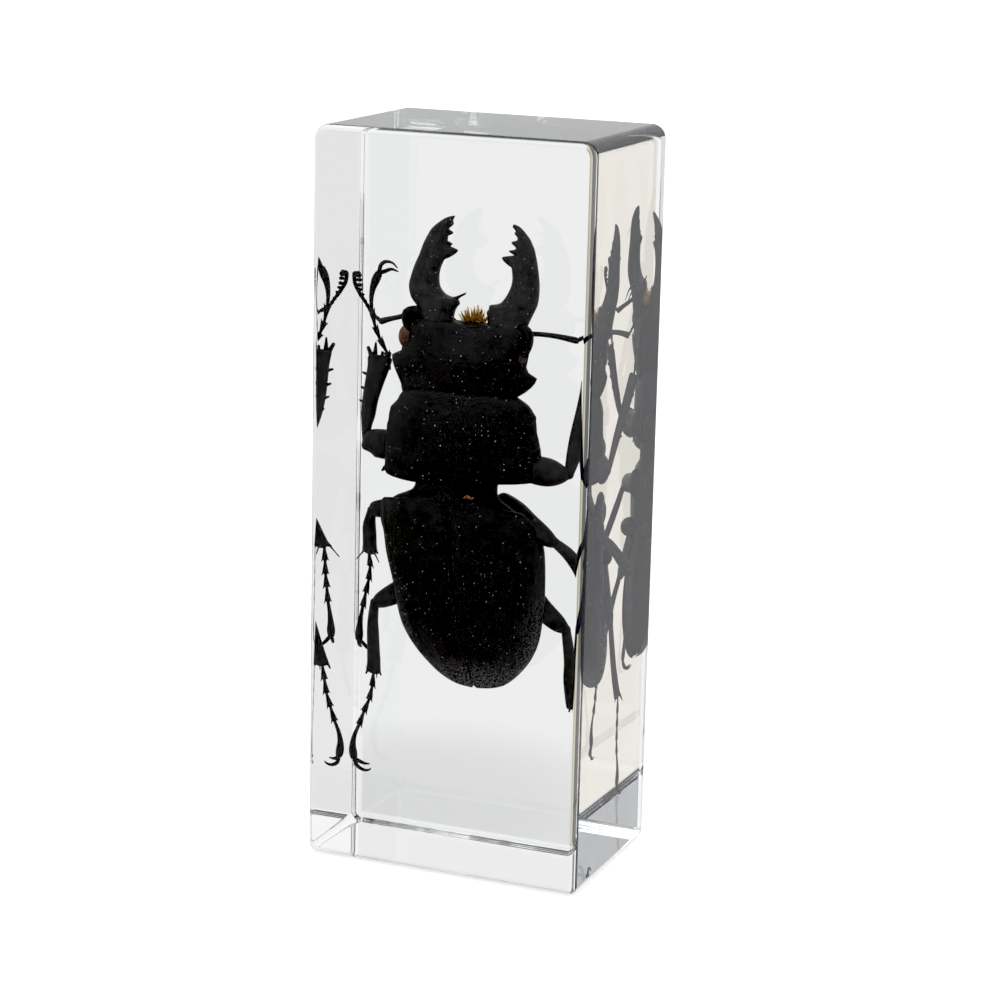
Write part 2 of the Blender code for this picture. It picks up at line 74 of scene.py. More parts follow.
def sampleRows(rows, at):
    # rows of (place, values...), the places rising or falling, joined by a smooth curve
    if rows[0][0] > rows[-1][0]:
        rows = rows[::-1]
    at = min(max(at, rows[0][0]), rows[-1][0])
    i = 0
    while i < len(rows) - 2 and at > rows[i + 1][0]:
        i += 1
    near, far = rows[i], rows[i + 1]
    before, after = rows[max(i - 1, 0)], rows[min(i + 2, len(rows) - 1)]
    span = far[0] - near[0]
    t = (at - near[0]) / span
    values = []
    for k in range(1, len(near)):
        slopeA = (far[k] - before[k]) / (far[0] - before[0]) * span
        slopeB = (after[k] - near[k]) / (after[0] - near[0]) * span
        values.append((2 * t ** 3 - 3 * t ** 2 + 1) * near[k] + (t ** 3 - 2 * t ** 2 + t) * slopeA
                      + (3 * t ** 2 - 2 * t ** 3) * far[k] + (t ** 3 - t ** 2) * slopeB)
    return values


def alongPoints(points, share):
    # the point at a share of the way along a smooth line
    rows = [(i, *point) for i, point in enumerate(points)]
    return Vector(sampleRows(rows, share * (len(points) - 1)))


def addRing(bm, segments, place):
    ring = bmesh.ops.create_circle(bm, segments=segments, radius=1)["verts"]
    for vert in ring:
        vert.co = place(math.atan2(vert.co.y, vert.co.x)) * mm
    return list({edge for vert in ring for edge in vert.link_edges})


def loftRings(bm, rings):
    for near, far in zip(rings, rings[1:]):
        bmesh.ops.bridge_loops(bm, edges=near + far)
    for end in (rings[0], rings[-1]):
        bmesh.ops.contextual_create(bm, geom=end)


def sweep(bm, run, wide, segments=12, steps=3, rounded=True):
    # a tapered oval limb along (centre, half width, half thickness) rows
    rows = [(i, *centre, width, thick) for i, (centre, width, thick) in enumerate(run)]
    count = (len(run) - 1) * steps
    marks = [i / steps for i in range(count + 1)]
    values = [sampleRows(rows, mark) for mark in marks]
    centres = [Vector(value[:3]) for value in values]
    ways = [(centres[min(i + 1, count)] - centres[max(i - 1, 0)]).normalized() for i in range(count + 1)]
    thinnest = 0.02
    stations = [(centre, way, max(value[3], thinnest), max(value[4], thinnest))
                for centre, way, value in zip(centres, ways, values)]
    if rounded:  # small rings that close both ends softly
        centre, way, width, thick = stations[0]
        stations.insert(0, (centre - way * thick * 0.5, way, width * 0.6, thick * 0.6))
        centre, way, width, thick = stations[-1]
        stations.append((centre + way * thick * 0.5, way, width * 0.6, thick * 0.6))
    rings = []
    for centre, way, width, thick in stations:
        across = Vector(wide) - way * way.dot(Vector(wide))
        across.normalize()
        through = way.cross(across)

        def place(turn):
            return centre + across * math.cos(turn) * width + through * math.sin(turn) * thick
        rings.append(addRing(bm, segments, place))
    loftRings(bm, rings)


def rod(points, sizes):
    # rows of a round limb for sweep
    return [(point, size, size) for point, size in zip(points, sizes)]


def standOut(teeth, z):
    # how far pointed lobes stand out at a height: rows of (height, reach, length above, length below)
    return max(reach * max(1 - abs((z - at) / (above if z > at else below)) ** 1.5, 0.0)
               for at, reach, above, below in teeth)


def addBall(bm, centre, radii, u=20, v=14):
    place = Matrix.Translation(Vector(centre) * mm) @ Matrix.Diagonal((*(r * mm for r in radii), 1))
    return bmesh.ops.create_uvsphere(bm, u_segments=u, v_segments=v, radius=1, matrix=place)["verts"]


def addThorn(bm, root, tip, radius, wide=(0, 1, 0), bend=(0, 0, 0), segments=8, blunt=0.12):
    root, tip = Vector(root), Vector(tip)
    middle = (root + tip) / 2 + Vector(bend)
    run = rod((root, middle, tip), (radius, radius * 0.62, radius * blunt))
    if abs((tip - root).normalized().dot(Vector(wide))) > 0.9:
        wide = (1, 0, 0)
    sweep(bm, run, wide, segments, 3, rounded=False)


def finishPiece(name, bm, material, replaces=("stag_beetle",), subdivide=0, stage=False):
    bmesh.ops.recalc_face_normals(bm, faces=bm.faces)
    for face in bm.faces:
        face.smooth = True
    mesh = bpy.data.meshes.new(name)
    bm.to_mesh(mesh)
    bm.free()
    piece = bpy.data.objects.new(name, mesh)
    scene.collection.objects.link(piece)
    mesh.materials.append(material)
    if subdivide:
        modifier = piece.modifiers.new("Subdivision", 'SUBSURF')
        modifier.levels = modifier.render_levels = subdivide
    if stage:
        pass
    else:
        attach(piece, "root")
        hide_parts(*replaces)
    return piece


# materials

def newMaterial(name, colour, roughness, **sockets):
    material = bpy.data.materials.new(name)
    material.use_nodes = True
    shader = material.node_tree.nodes["Principled BSDF"]
    shader.inputs["Base Color"].default_value = (*colour, 1)
    shader.inputs["Roughness"].default_value = roughness
    for socket, value in sockets.items():
        shader.inputs[socket.replace("_", " ")].default_value = value
    return material, material.node_tree, shader


def addNode(tree, kind, inputs=None, **settings):
    node = tree.nodes.new(kind)
    for key, value in settings.items():
        setattr(node, key, value)
    for key, value in (inputs or {}).items():
        if isinstance(value, bpy.types.NodeSocket):
            tree.links.new(value, node.inputs[key])
        else:
            node.inputs[key].default_value = value
    return node


def mixColours(tree, share, first, second):
    mixer = addNode(tree, "ShaderNodeMix", {0: share, 6: first, 7: second}, data_type='RGBA')
    return mixer.outputs[2]


def addRamp(tree, value, stops):
    ramp = tree.nodes.new("ShaderNodeValToRGB")
    tree.links.new(value, ramp.inputs["Fac"])
    elements = ramp.color_ramp.elements
    while len(elements) > 1:
        elements.remove(elements[-1])
    for i, (place, colour) in enumerate(stops):
        element = elements[0] if i == 0 else elements.new(place)
        element.position = place
        element.color = (*colour, 1)
    return ramp.outputs["Color"]


def objectPlace(tree):
    return addNode(tree, "ShaderNodeTexCoord").outputs["Object"]


def addNoise(tree, place, size, detail, roughness=0.5):
    # a noise whose grains are about as large as the size, in millimetres
    inputs = {"Vector": place, "Scale": 1000 / size, "Detail": detail, "Roughness": roughness}
    return addNode(tree, "ShaderNodeTexNoise", inputs).outputs["Fac"]


def addCells(tree, place, size):
    inputs = {"Vector": place, "Scale": 1000 / size}
    return addNode(tree, "ShaderNodeTexVoronoi", inputs).outputs["Distance"]


def addMath(tree, operation, *values):
    return addNode(tree, "ShaderNodeMath", dict(enumerate(values)), operation=operation).outputs[0]


def addBump(tree, shader, height, strength, depth):
    bump = addNode(tree, "ShaderNodeBump", {"Height": height, "Strength": strength, "Distance": depth * mm})
    tree.links.new(bump.outputs["Normal"], shader.inputs["Normal"])


shellLook = {
    "deep": (0.0034, 0.0034, 0.0038), "pale": (0.016, 0.016, 0.018),  # darkest and palest black
    "fleck": (0.2, 0.2, 0.21), "fleckShare": 0.18,  # dust caught on the shell
    "patchSize": 1.4, "frostSize": 0.3, "fleckSize": 0.42, "clusterSize": 6.0,
    "pitSize": 0.16, "grainSize": 0.5, "pitDepth": 0.012, "pitStrength": 0.5,
    "roughness": (0.4, 0.62), "specular": 0.22, "sheen": (0.92, 0.95, 1.0),
}


def makeShell(name, look, frostAndHighlight=None):
    material, tree, shader = newMaterial(name, look["deep"], 0.5, Specular_Tint=(*look["sheen"], 1),
                                         Specular_IOR_Level=look["specular"])
    place = objectPlace(tree)
    patches = addNoise(tree, place, look["patchSize"], 6.0, 0.6)
    base = addRamp(tree, patches, [(0.3, look["deep"]), (0.7, look["pale"])])
    if frostAndHighlight:  # pale frosty bloom at the tips, and a painted highlight in the same pale colour: a fine line along the side edge of the wing cases
        edge = addNode(tree, "ShaderNodeAttribute", attribute_name="rim").outputs["Fac"]
        grain = addNoise(tree, place, look["frostSize"], 5.0)
        frostAndHighlightColour = addRamp(tree, grain, [(0.42, look["deep"]), (0.62, frostAndHighlight)])
        base = mixColours(tree, edge, base, frostAndHighlightColour)
    clusters = addNoise(tree, place, look["clusterSize"], 3.0)
    limit = addMath(tree, 'MULTIPLY', clusters, look["fleckShare"])
    fleck = addMath(tree, 'LESS_THAN', addCells(tree, place, look["fleckSize"]), limit)
    tree.links.new(mixColours(tree, fleck, base, (*look["fleck"], 1)), shader.inputs["Base Color"])
    low, high = look["roughness"]
    rough = addNode(tree, "ShaderNodeMapRange", {"Value": patches, "From Min": 0.3, "From Max": 0.7,
                                                 "To Min": low, "To Max": high})
    tree.links.new(rough.outputs["Result"], shader.inputs["Roughness"])
    pits = addCells(tree, place, look["pitSize"])
    height = addMath(tree, 'MULTIPLY_ADD', pits, 0.6, addNoise(tree, place, look["grainSize"], 4.0))
    addBump(tree, shader, height, look["pitStrength"], look["pitDepth"])
    return material


resinLook = {
    "ior": 1.555, "tint": (0.86, 0.88, 0.885), "density": 9.0,  # absorption per metre towards the tint
    "smudgeSize": 9.0, "smudgeDepth": 0.0016,
}


def makeResin(name, look):
    material, tree, shader = newMaterial(name, (1, 1, 1), 0.0, Transmission_Weight=1.0, IOR=look["ior"])
    absorb = addNode(tree, "ShaderNodeVolumeAbsorption",
                     {"Color": (*look["tint"], 1), "Density": look["density"]})
    tree.links.new(absorb.outputs["Volume"], tree.nodes["Material Output"].inputs["Volume"])
    place = objectPlace(tree)
    addBump(tree, shader, addNoise(tree, place, look["smudgeSize"], 2.0), 1.0, look["smudgeDepth"])
    return material


def makeMottled(name, dark, light, size, roughness, specular=0.4, glow=0.0):
    material, tree, shader = newMaterial(name, light, roughness, Specular_IOR_Level=specular)
    place = objectPlace(tree)
    colour = addRamp(tree, addNoise(tree, place, size, 5.0), [(0.35, dark), (0.65, light)])
    tree.links.new(colour, shader.inputs["Base Color"])
    if glow:  # share of the light from behind that shines through
        through = addNode(tree, "ShaderNodeBsdfTranslucent", {"Color": colour}).outputs["BSDF"]
        both = addNode(tree, "ShaderNodeMixShader", {0: glow, 1: shader.outputs["BSDF"], 2: through})
        tree.links.new(both.outputs[0], tree.nodes["Material Output"].inputs["Surface"])
    return material


shell = makeShell("blackShell", shellLook)
# the pale frost colour also paints a highlight line along the side edge of the wing cases
wingShell = makeShell("wingShell", shellLook, frostAndHighlight=(0.22, 0.224, 0.235))
jawShell = makeShell("jawShell", {**shellLook, "deep": (0.018, 0.018, 0.019),
                                  "pale": (0.048, 0.048, 0.050), "fleckShare": 0.2})
legShell = makeShell("legShell", {**shellLook, "deep": (0.018, 0.018, 0.0185),
                                  "pale": (0.046, 0.046, 0.047), "fleckShare": 0.15})
clearResin = makeResin("clearResin", resinLook)
eyeSkin = makeMottled("eyeSkin", (0.04, 0.018, 0.012), (0.22, 0.095, 0.055), 0.6, 0.4)
# the right eye: the same mottled eye skin made darker, painted shade
shadedEyeSkin = makeMottled("shadedEyeSkin", (0.012, 0.009, 0.008), (0.042, 0.026, 0.02), 0.6, 0.4)
goldHair = makeMottled("goldHair", (0.62, 0.30, 0.07), (1.0, 0.95, 0.5), 0.4, 0.45, glow=0.9)
softSkin = makeMottled("softSkin", (0.10, 0.035, 0.012), (0.60, 0.27, 0.10), 0.5, 0.5)
bubbleWhite = newMaterial("bubbleWhite", (0.9, 0.92, 0.96), 0.2)[0]
print("materials ready")


# clear block

blockForm = {"topCorner": 2.2, "baseCorner": 1.3, "faceRim": 1.15, "roundSteps": 10}


def makeBlock(form):
    bm = bmesh.new()
    size, middle = blockHigh - blockLow, (blockHigh + blockLow) / 2
    bmesh.ops.create_cube(bm, size=1, matrix=Matrix.Translation(middle) @ Matrix.Diagonal((*size, 1)))
    close = 0.01 * mm

    def roundEdges(test, radius, alongDepth):
        edges = []
        for edge in bm.edges:
            run = edge.verts[0].co - edge.verts[1].co
            if all(test(vert.co) for vert in edge.verts) and (abs(run.y) > close) == alongDepth:
                edges.append(edge)
        bmesh.ops.bevel(bm, geom=edges, offset=radius * mm, segments=form["roundSteps"], profile=0.5,
                        affect='EDGES', material=-1)

    sideX, topZ, baseZ = blockHigh.x - close, blockHigh.z - close, blockLow.z + close
    roundEdges(lambda p: abs(p.x) > sideX and p.z > topZ, form["topCorner"], True)
    roundEdges(lambda p: abs(p.x) > sideX and p.z < baseZ, form["baseCorner"], True)
    roundEdges(lambda p: abs(p.y) > blockHigh.y - close, form["faceRim"], False)
    block = finishPiece("resinBlock", bm, clearResin, ("resin_front", "resin_back"))
    weights = block.modifiers.new("Flat faces", 'WEIGHTED_NORMAL')
    weights.weight = 100


makeBlock(blockForm)
print("clear block ready")


# body of the beetle
# rows: z, left edge, right edge, depth of the side edge, rise of the back, drop of the belly

pronotumRows = [
    (57.5, -10.6, 7.6, -1.1, 2.6, 2.2),
    (57.9, -12.4, 10.0, -1.1, 3.4, 3.0),
    (58.4, -13.15, 11.3, -1.1, 3.8, 3.6),
    (59.4, -13.25, 11.7, -1.1, 4.15, 4.4),
    (61.5, -13.2, 11.7, -1.1, 4.5, 5.1),
    (64.8, -13.1, 11.2, -1.1, 4.6, 5.9),
    (66.6, -12.75, 10.7, -1.1, 4.5, 6.0),
    (68.3, -12.45, 10.5, -1.05, 4.2, 6.0),
    (68.9, -11.85, 10.45, -1.0, 4.1, 5.9),
    (69.7, -11.3, 9.95, -0.95, 3.9, 5.6),
    (70.5, -10.8, 9.2, -0.85, 3.6, 5.2),
    (71.1, -10.2, 8.3, -0.75, 3.3, 4.9),
    (71.6, -9.0, 7.2, -0.6, 2.8, 4.4),
]
headRows = [
    (69.4, -10.4, 5.7, 0.2, 2.8, 4.2),
    (70.8, -11.2, 6.3, 0.4, 3.1, 4.4),
    (72.5, -11.3, 7.4, 0.75, 3.4, 4.7),
    (75.0, -11.5, 8.1, 1.1, 3.7, 4.6),
    (77.2, -11.5, 8.5, 1.35, 3.55, 4.45),
    (79.4, -11.6, 8.75, 1.8, 3.0, 4.0),
    (80.8, -11.3, 8.2, 2.15, 2.4, 3.4),
    (81.5, -10.4, 7.2, 2.4, 1.7, 2.6),
]
wingRows = [  # the wing cases use no drop
    (56.4, -9.0, 5.4, -1.6, 3.2, 0),
    (55.4, -11.4, 7.6, -1.7, 3.8, 0),
    (54.5, -13.35, 9.4, -1.7, 4.4, 0),
    (52.6, -13.7, 11.1, -1.5, 4.9, 0),
    (51.0, -13.75, 11.9, -1.3, 5.2, 0),
    (49.4, -13.35, 12.4, -1.1, 5.35, 0),
    (46.0, -12.9, 12.6, -0.8, 5.6, 0),
    (41.5, -12.1, 12.3, 0.5, 5.75, 0),
    (37.5, -11.65, 11.7, 1.8, 5.5, 0),
    (35.0, -11.15, 11.15, 2.65, 5.2, 0),
    (32.8, -10.2, 10.3, 3.4, 4.7, 0),
    (30.6, -8.75, 9.0, 4.15, 3.95, 0),
    (28.6, -6.9, 7.3, 4.75, 3.0, 0),
    (27.4, -5.5, 6.0, 5.05, 2.3, 0),
    (26.6, -4.15, 4.8, 5.2, 1.65, 0),
    (26.1, -2.95, 3.4, 5.25, 1.1, 0),
    (25.85, -1.9, 2.2, 5.3, 0.7, 0),
    (25.75, -0.9, 1.2, 5.3, 0.4, 0),
]
bellyRows = [
    (59.6, -8.4, 5.0, -1.1, 2.6, 4.2),
    (56.4, -8.6, 5.1, -1.4, 2.8, 4.6),
    (55.0, -11.4, 7.4, -1.6, 3.4, 5.4),
    (53.4, -12.8, 9.6, -1.5, 4.1, 6.1),
    (49.0, -12.8, 11.9, -1.0, 4.8, 6.7),
    (45.0, -12.2, 12.0, -0.5, 5.1, 6.7),
    (38.5, -11.2, 11.3, 1.5, 5.0, 5.8),
    (34.0, -10.3, 10.3, 3.1, 4.4, 4.5),
    (31.0, -8.5, 8.7, 4.0, 3.5, 3.6),
    (28.8, -6.5, 6.9, 4.75, 2.5, 2.7),
    (27.2, -4.4, 4.9, 5.2, 1.5, 1.8),
    (26.3, -2.3, 2.6, 5.3, 0.7, 0.9),
]
bodyForm = {
    "backFullness": 1.85, "bellyFullness": 1.4,  # 2 is an ellipse, less is flatter towards the side edge
    "segments": 72, "ringStep": 0.55,
}


def bodyPoint(row, turn, z, form):
    left, right, edge, rise, drop = row
    x, y = math.cos(turn), math.sin(turn)
    fullness = form["backFullness" if y > 0 else "bellyFullness"]
    x = math.copysign(abs(x) ** (2 / fullness), x)
    y = math.copysign(abs(y) ** (2 / fullness), y)
    return Vector(((left + right) / 2 + (right - left) / 2 * x, edge - (rise if y > 0 else drop) * y, z))


def loftBody(bm, rows, form, sculpt=None):
    low, high = sorted((rows[0][0], rows[-1][0]))
    count = max(int((high - low) / form["ringStep"]), 4)
    rings = []
    for i in range(count + 1):
        share = i / count
        z = mix(low, high, mix(share, 0.5 - 0.5 * math.cos(math.pi * share), 0.5))  # closer at the ends
        row = sampleRows(rows, z)

        def place(turn):
            point = bodyPoint(row, turn, z, form)
            return sculpt(point, turn, row) if sculpt else point
        rings.append(addRing(bm, form["segments"], place))
    loftRings(bm, rings)


def bumpAt(point, x, z, height, wideX, wideZ):
    return height * math.exp(-((point.x - x) / wideX) ** 2 - ((point.z - z) / wideZ) ** 2)


def sculptPronotum(point, turn, row):
    back = max(math.sin(turn), 0.0)
    belly = max(-math.sin(turn), 0.0)
    side = abs(math.cos(turn))
    middle = (row[0] + row[1]) / 2
    askew = smoothStep((point.x + 8) / 17)  # the rear edge climbs towards the right
    if back > 0:
        point.y += back * bumpAt(point, middle, 65.0, 0.28, 0.7, 5.0)  # shallow furrow along the middle
        for shift in (-7.2, 6.8):  # dents beside it
            point.y += back * bumpAt(point, middle + shift, 63.2, 0.5, 1.7, 2.2)
        rim = smoothStep((side - 0.955) / 0.02) * smoothStep((0.999 - side) / 0.02)
        point.y -= 0.22 * rim  # bead inside the side edge
        point.y -= 0.16 * bell(point.z - 58.25, 0.35) * back  # bead along the rear edge
        point.y += 0.20 * bell(point.z - 59.2, 0.45) * back
    if belly > 0.2:
        point.y -= 0.5 * bell(abs(point.x - middle) - 3.4, 1.6) * smoothStep((66 - point.z) / 3)
    ripple = math.sin(point.z * 2.1 + math.copysign(1.4, point.x)) * 0.12
    point.x += math.copysign(ripple, point.x) * smoothStep((side - 0.9) / 0.1)  # uneven side edge
    point.z += 1.2 * askew * smoothStep((63 - point.z) / 4.5)
    return point


headSides = {  # lobes behind the eyes: height, reach, length above, length below
    "left": [(75.7, 1.65, 0.9, 4.2), (76.1, 1.3, 0.35, 1.5)],
    "right": [(74.25, 2.15, 1.0, 3.4)],
}


def sculptHead(point, turn, row):
    back = max(math.sin(turn), 0.0)
    middle = (row[0] + row[1]) / 2
    if back > 0:
        point.y += back * bumpAt(point, middle + 0.1, 79.6, 1.15, 4.6, 2.3)  # hollow brow
        point.y -= back * bumpAt(point, middle, 76.2, 0.35, 5.2, 0.8)  # ridge across the brow
        point.y -= back * bumpAt(point, -8.6, 79.2, 0.5, 1.0, 2.6)  # ridges in front of the eyes
        point.y -= back * bumpAt(point, 5.8, 78.6, 0.5, 1.0, 2.4)
        point.y += back * bumpAt(point, middle - 6.4, 74.2, 0.35, 1.2, 1.4)
        point.y += back * bumpAt(point, middle + 6.2, 74.0, 0.35, 1.2, 1.4)
    else:
        point.y -= bumpAt(point, middle, 73.5, 0.8, 0.9, 5.0) * -math.sin(turn)  # throat seam
    point.z -= 0.75 * bell(point.x + 0.7, 2.4) * smoothStep((point.z - 79.8) / 1.4)  # notch for the mouth
    sides = headSides["left" if math.cos(turn) < 0 else "right"]
    point.x += math.copysign(standOut(sides, point.z) * abs(math.cos(turn)) ** 5, math.cos(turn))
    return point


bellyForm = {
    "plateEdges": [45.2, 41.4, 38.2, 35.2, 32.4, 29.6],  # rear edges of the belly plates
    "plateStep": 0.34, "plateFade": 2.4,
}


def sculptBelly(point, turn, row):
    belly = max(-math.sin(turn), 0.0) ** 0.5
    middle = (row[0] + row[1]) / 2
    away = abs(point.x - middle)
    for edge in bellyForm["plateEdges"]:
        past = edge + 0.25 * away ** 1.4 / 12 - point.z  # each edge bends a little at its sides
        if past > 0:
            drop = belly * bellyForm["plateStep"] * math.exp(-past / bellyForm["plateFade"])
            point.y -= drop * smoothStep(past / 0.18)
    if point.z > 45:  # groove between the breast plates
        point.y -= belly * 0.5 * bumpAt(point, middle, 50.0, 1.0, 0.5, 3.4)
        point.y += belly * 0.5 * bell(away - 3.2, 2.2) * smoothStep((point.z - 46) / 2)
        point.y -= belly * 0.55 * bell(point.z - 46.6, 0.3)  # seam in front of the hind hips
        point.y -= belly * 0.45 * bell(point.z - 52.2, 0.3) * smoothStep((away - 2) / 3)
    return point


def makeBody():
    bm = bmesh.new()
    loftBody(bm, pronotumRows, bodyForm, sculptPronotum)
    addThorn(bm, (-12.5, -1.0, 59.4), (-13.9, -1.0, 58.35), 0.6, bend=(-0.15, 0, 0), blunt=0.2)
    finishPiece("pronotum", bm, shell)

    bm = bmesh.new()
    loftBody(bm, headRows, bodyForm, sculptHead)
    # plates over the eyes and the front corners that carry the feelers
    sweep(bm, [((-9.8, 0.9, 77.0), 0.7, 0.5), ((-10.2, 0.6, 78.8), 0.55, 0.4),
               ((-10.9, 1.2, 80.7), 0.7, 0.6), ((-10.9, 1.8, 81.9), 0.75, 0.9),
               ((-9.6, 2.2, 82.35), 0.75, 0.9), ((-8.2, 2.4, 82.0), 0.7, 0.9)], (0, 1, 0))
    sweep(bm, [((6.8, 0.9, 76.6), 0.7, 0.5), ((8.45, 0.7, 78.2), 0.65, 0.42), ((8.65, 1.2, 79.7), 0.7, 0.6),
               ((8.05, 1.8, 80.8), 0.75, 0.9), ((6.8, 2.2, 81.3), 0.75, 0.9)], (0, 1, 0))
    # shield over the mouth and the lip under it
    sweep(bm, [((-1.0, 1.6, 79.6), 2.6, 0.9), ((-0.9, 2.2, 80.3), 2.1, 0.7),
               ((-0.8, 2.7, 80.9), 1.5, 0.45)], (1, 0, 0), segments=20)
    sweep(bm, [((-0.9, 5.2, 77.5), 2.4, 0.7), ((-0.9, 5.2, 79.8), 2.6, 0.6),
               ((-0.8, 5.0, 80.8), 1.7, 0.4)], (1, 0, 0), segments=20)
    finishPiece("head", bm, shell)

    bm = bmesh.new()
    loftBody(bm, bellyRows, bodyForm, sculptBelly)
    for side, shift in ((-1, -1.5), (1, -0.2)):  # hips
        addBall(bm, (side * 3.7 + shift + 0.4, 4.2, 53.2), (2.5, 1.9, 2.2))
        addBall(bm, (side * 5.4 + shift + 0.4, 5.0, 46.3), (4.4, 1.7, 1.5))
    finishPiece("belly", bm, shell)

    bm = bmesh.new()
    for x in (-4.7, 2.6):  # front hips under the pronotum
        addBall(bm, (x, 3.9, 62.6), (2.7, 2.2, 2.2))
    sweep(bm, [((-1.1, 4.4, 65.5), 0.9, 0.6), ((-1.1, 5.0, 62.5), 0.7, 0.6),
               ((-1.1, 4.6, 60.8), 0.4, 0.4)], (1, 0, 0))
    finishPiece("frontHips", bm, shell)

    bm = bmesh.new()  # small heart-shaped plate between the wing cases
    for vert in addBall(bm, (0, 0, 0), (2.3, 0.75, 1.9), 24, 16):
        point = vert.co / mm
        point.x *= mix(0.45, 1.0, smoothStep((point.z + 1.9) / 3.0))
        vert.co = (point + Vector((-2.0, -5.15, 55.2))) * mm
    finishPiece("scutellum", bm, shell)

    eyes = (("eyeLeft", eyeSkin, (-10.85, 1.3, 78.65)), ("eyeRight", shadedEyeSkin, (7.2, 1.4, 77.1)))
    for name, skin, place in eyes:
        bm = bmesh.new()
        addBall(bm, place, (1.2, 1.6, 1.7), 28, 20)
        finishPiece(name, bm, skin)

    bm = bmesh.new()  # soft skin that shows between the pronotum and the wing cases
    sweep(bm, [((0.3, -4.6, 56.2), 0.1, 0.1), ((0.95, -4.75, 56.55), 0.24, 0.2),
               ((1.5, -4.7, 56.3), 0.2, 0.16), ((1.9, -4.6, 56.45), 0.1, 0.1)], (0, 0, 1))
    finishPiece("softSkinFold", bm, softSkin)


makeBody()
print("body ready")


# wing cases

wingForm = {
    "sutureTop": (-2.1, 55.6), "sutureTip": (0.35, 26.0),  # x, z of the line where the two cases meet
    "seam": 0.05, "tipSpread": 0.12, "thickness": 0.35, "columns": 40, "rows": 90,
    "fold": 1.3, "rimHeight": 0.14, "tipZ": 25.75, "fullness": 1.95,
}


def makeWingCase(name, side, form):
    bm = bmesh.new()
    bmesh.ops.create_grid(bm, x_segments=form["columns"], y_segments=form["rows"], size=1)
    rim = bm.verts.layers.float.new("rim")
    for vert in bm.verts:
        u = (vert.co.x + 1) / 2 * 1.12  # 0 at the middle seam, 1 at the side edge, past 1 folded under
        v = (vert.co.y + 1) / 2  # 0 at the root, 1 at the tip
        rootZ = mix(56.2, 54.6, smoothStep(u)) - 1.1 * smoothStep((u - 0.86) / 0.14) ** 2
        z = mix(rootZ, form["tipZ"], mix(v, math.sin(v * math.pi / 2), 0.45))
        z += 0.4 * max(1 - u / 0.1, 0.0) ** 1.5 * smoothStep((v - 0.9) / 0.1)  # small notch at the tip
        left, right, edge, rise, _ = sampleRows(wingRows, z)
        seamX = mix(form["sutureTip"][0], form["sutureTop"][0],
                    (z - form["sutureTip"][1]) / (form["sutureTop"][1] - form["sutureTip"][1]))
        seamX += side * (form["seam"] + form["tipSpread"] * smoothStep((26.6 - z) / 0.8))
        edgeX = right if side > 0 else left
        turn = min(u, 1.0) * math.pi / 2
        out = math.sin(turn) ** (2 / form["fullness"])
        x = mix(seamX, edgeX, out)
        middle = (left + right) / 2
        across = min(abs(x - middle) / max((right - left) / 2, 0.01), 1.0)
        y = edge - rise * max(1 - across ** form["fullness"], 0.0) ** (1 / form["fullness"])
        y -= form["rimHeight"] * bell(u - 0.965, 0.022)  # bead along the side edge
        y += form["rimHeight"] * 0.9 * bell(u - 0.91, 0.02)
        y += 0.13 * bell(u, 0.022) - 0.06 * bell(u - 0.05, 0.025)
        y -= bumpAt(Vector((x, 0, z)), mix(middle, edgeX, 0.72), 53.2, 0.3, 1.6, 1.5)  # shoulder boss
        y += 0.035 * math.cos(u * 46) * smoothStep((0.9 - u) / 0.1) * smoothStep(u / 0.1)  # faint ribs
        low = smoothStep((46 - z) / 14)
        # share of the pale colour: frosty bloom low on the outer half and at the tips, and a painted
        # highlight, a fine pale line along the side edge
        vert[rim] = max(0.9 * low * smoothStep((u - 0.5) / 0.4), 0.75 * bell(u - 0.955, 0.02),
                        0.75 * smoothStep((32 - z) / 5))
        if u > 1:
            fold = (u - 1) / 0.12
            x -= side * 0.9 * fold ** 1.3
            y += form["fold"] * fold
        vert.co = Vector((x, y, z)) * mm
    bmesh.ops.recalc_face_normals(bm, faces=bm.faces)
    if sum(face.normal.y for face in bm.faces) > 0:  # the back looks to the front of the block
        bmesh.ops.reverse_faces(bm, faces=bm.faces)
    under = bmesh.ops.extrude_face_region(bm, geom=bm.faces[:], use_keep_orig=True)["geom"]
    for vert in [part for part in under if isinstance(part, bmesh.types.BMVert)]:
        vert.co.y += form["thickness"] * mm
        vert.co.x *= 0.97
    finishPiece(name, bm, wingShell)


makeWingCase("wingCaseLeft", -1, wingForm)
makeWingCase("wingCaseRight", 1, wingForm)
print("wing cases ready")


# jaws
# outer and inner edge rows: height, x; depth rows: height, y of the middle, half thickness;
# teeth: height, reach from the inner edge, length above, length below

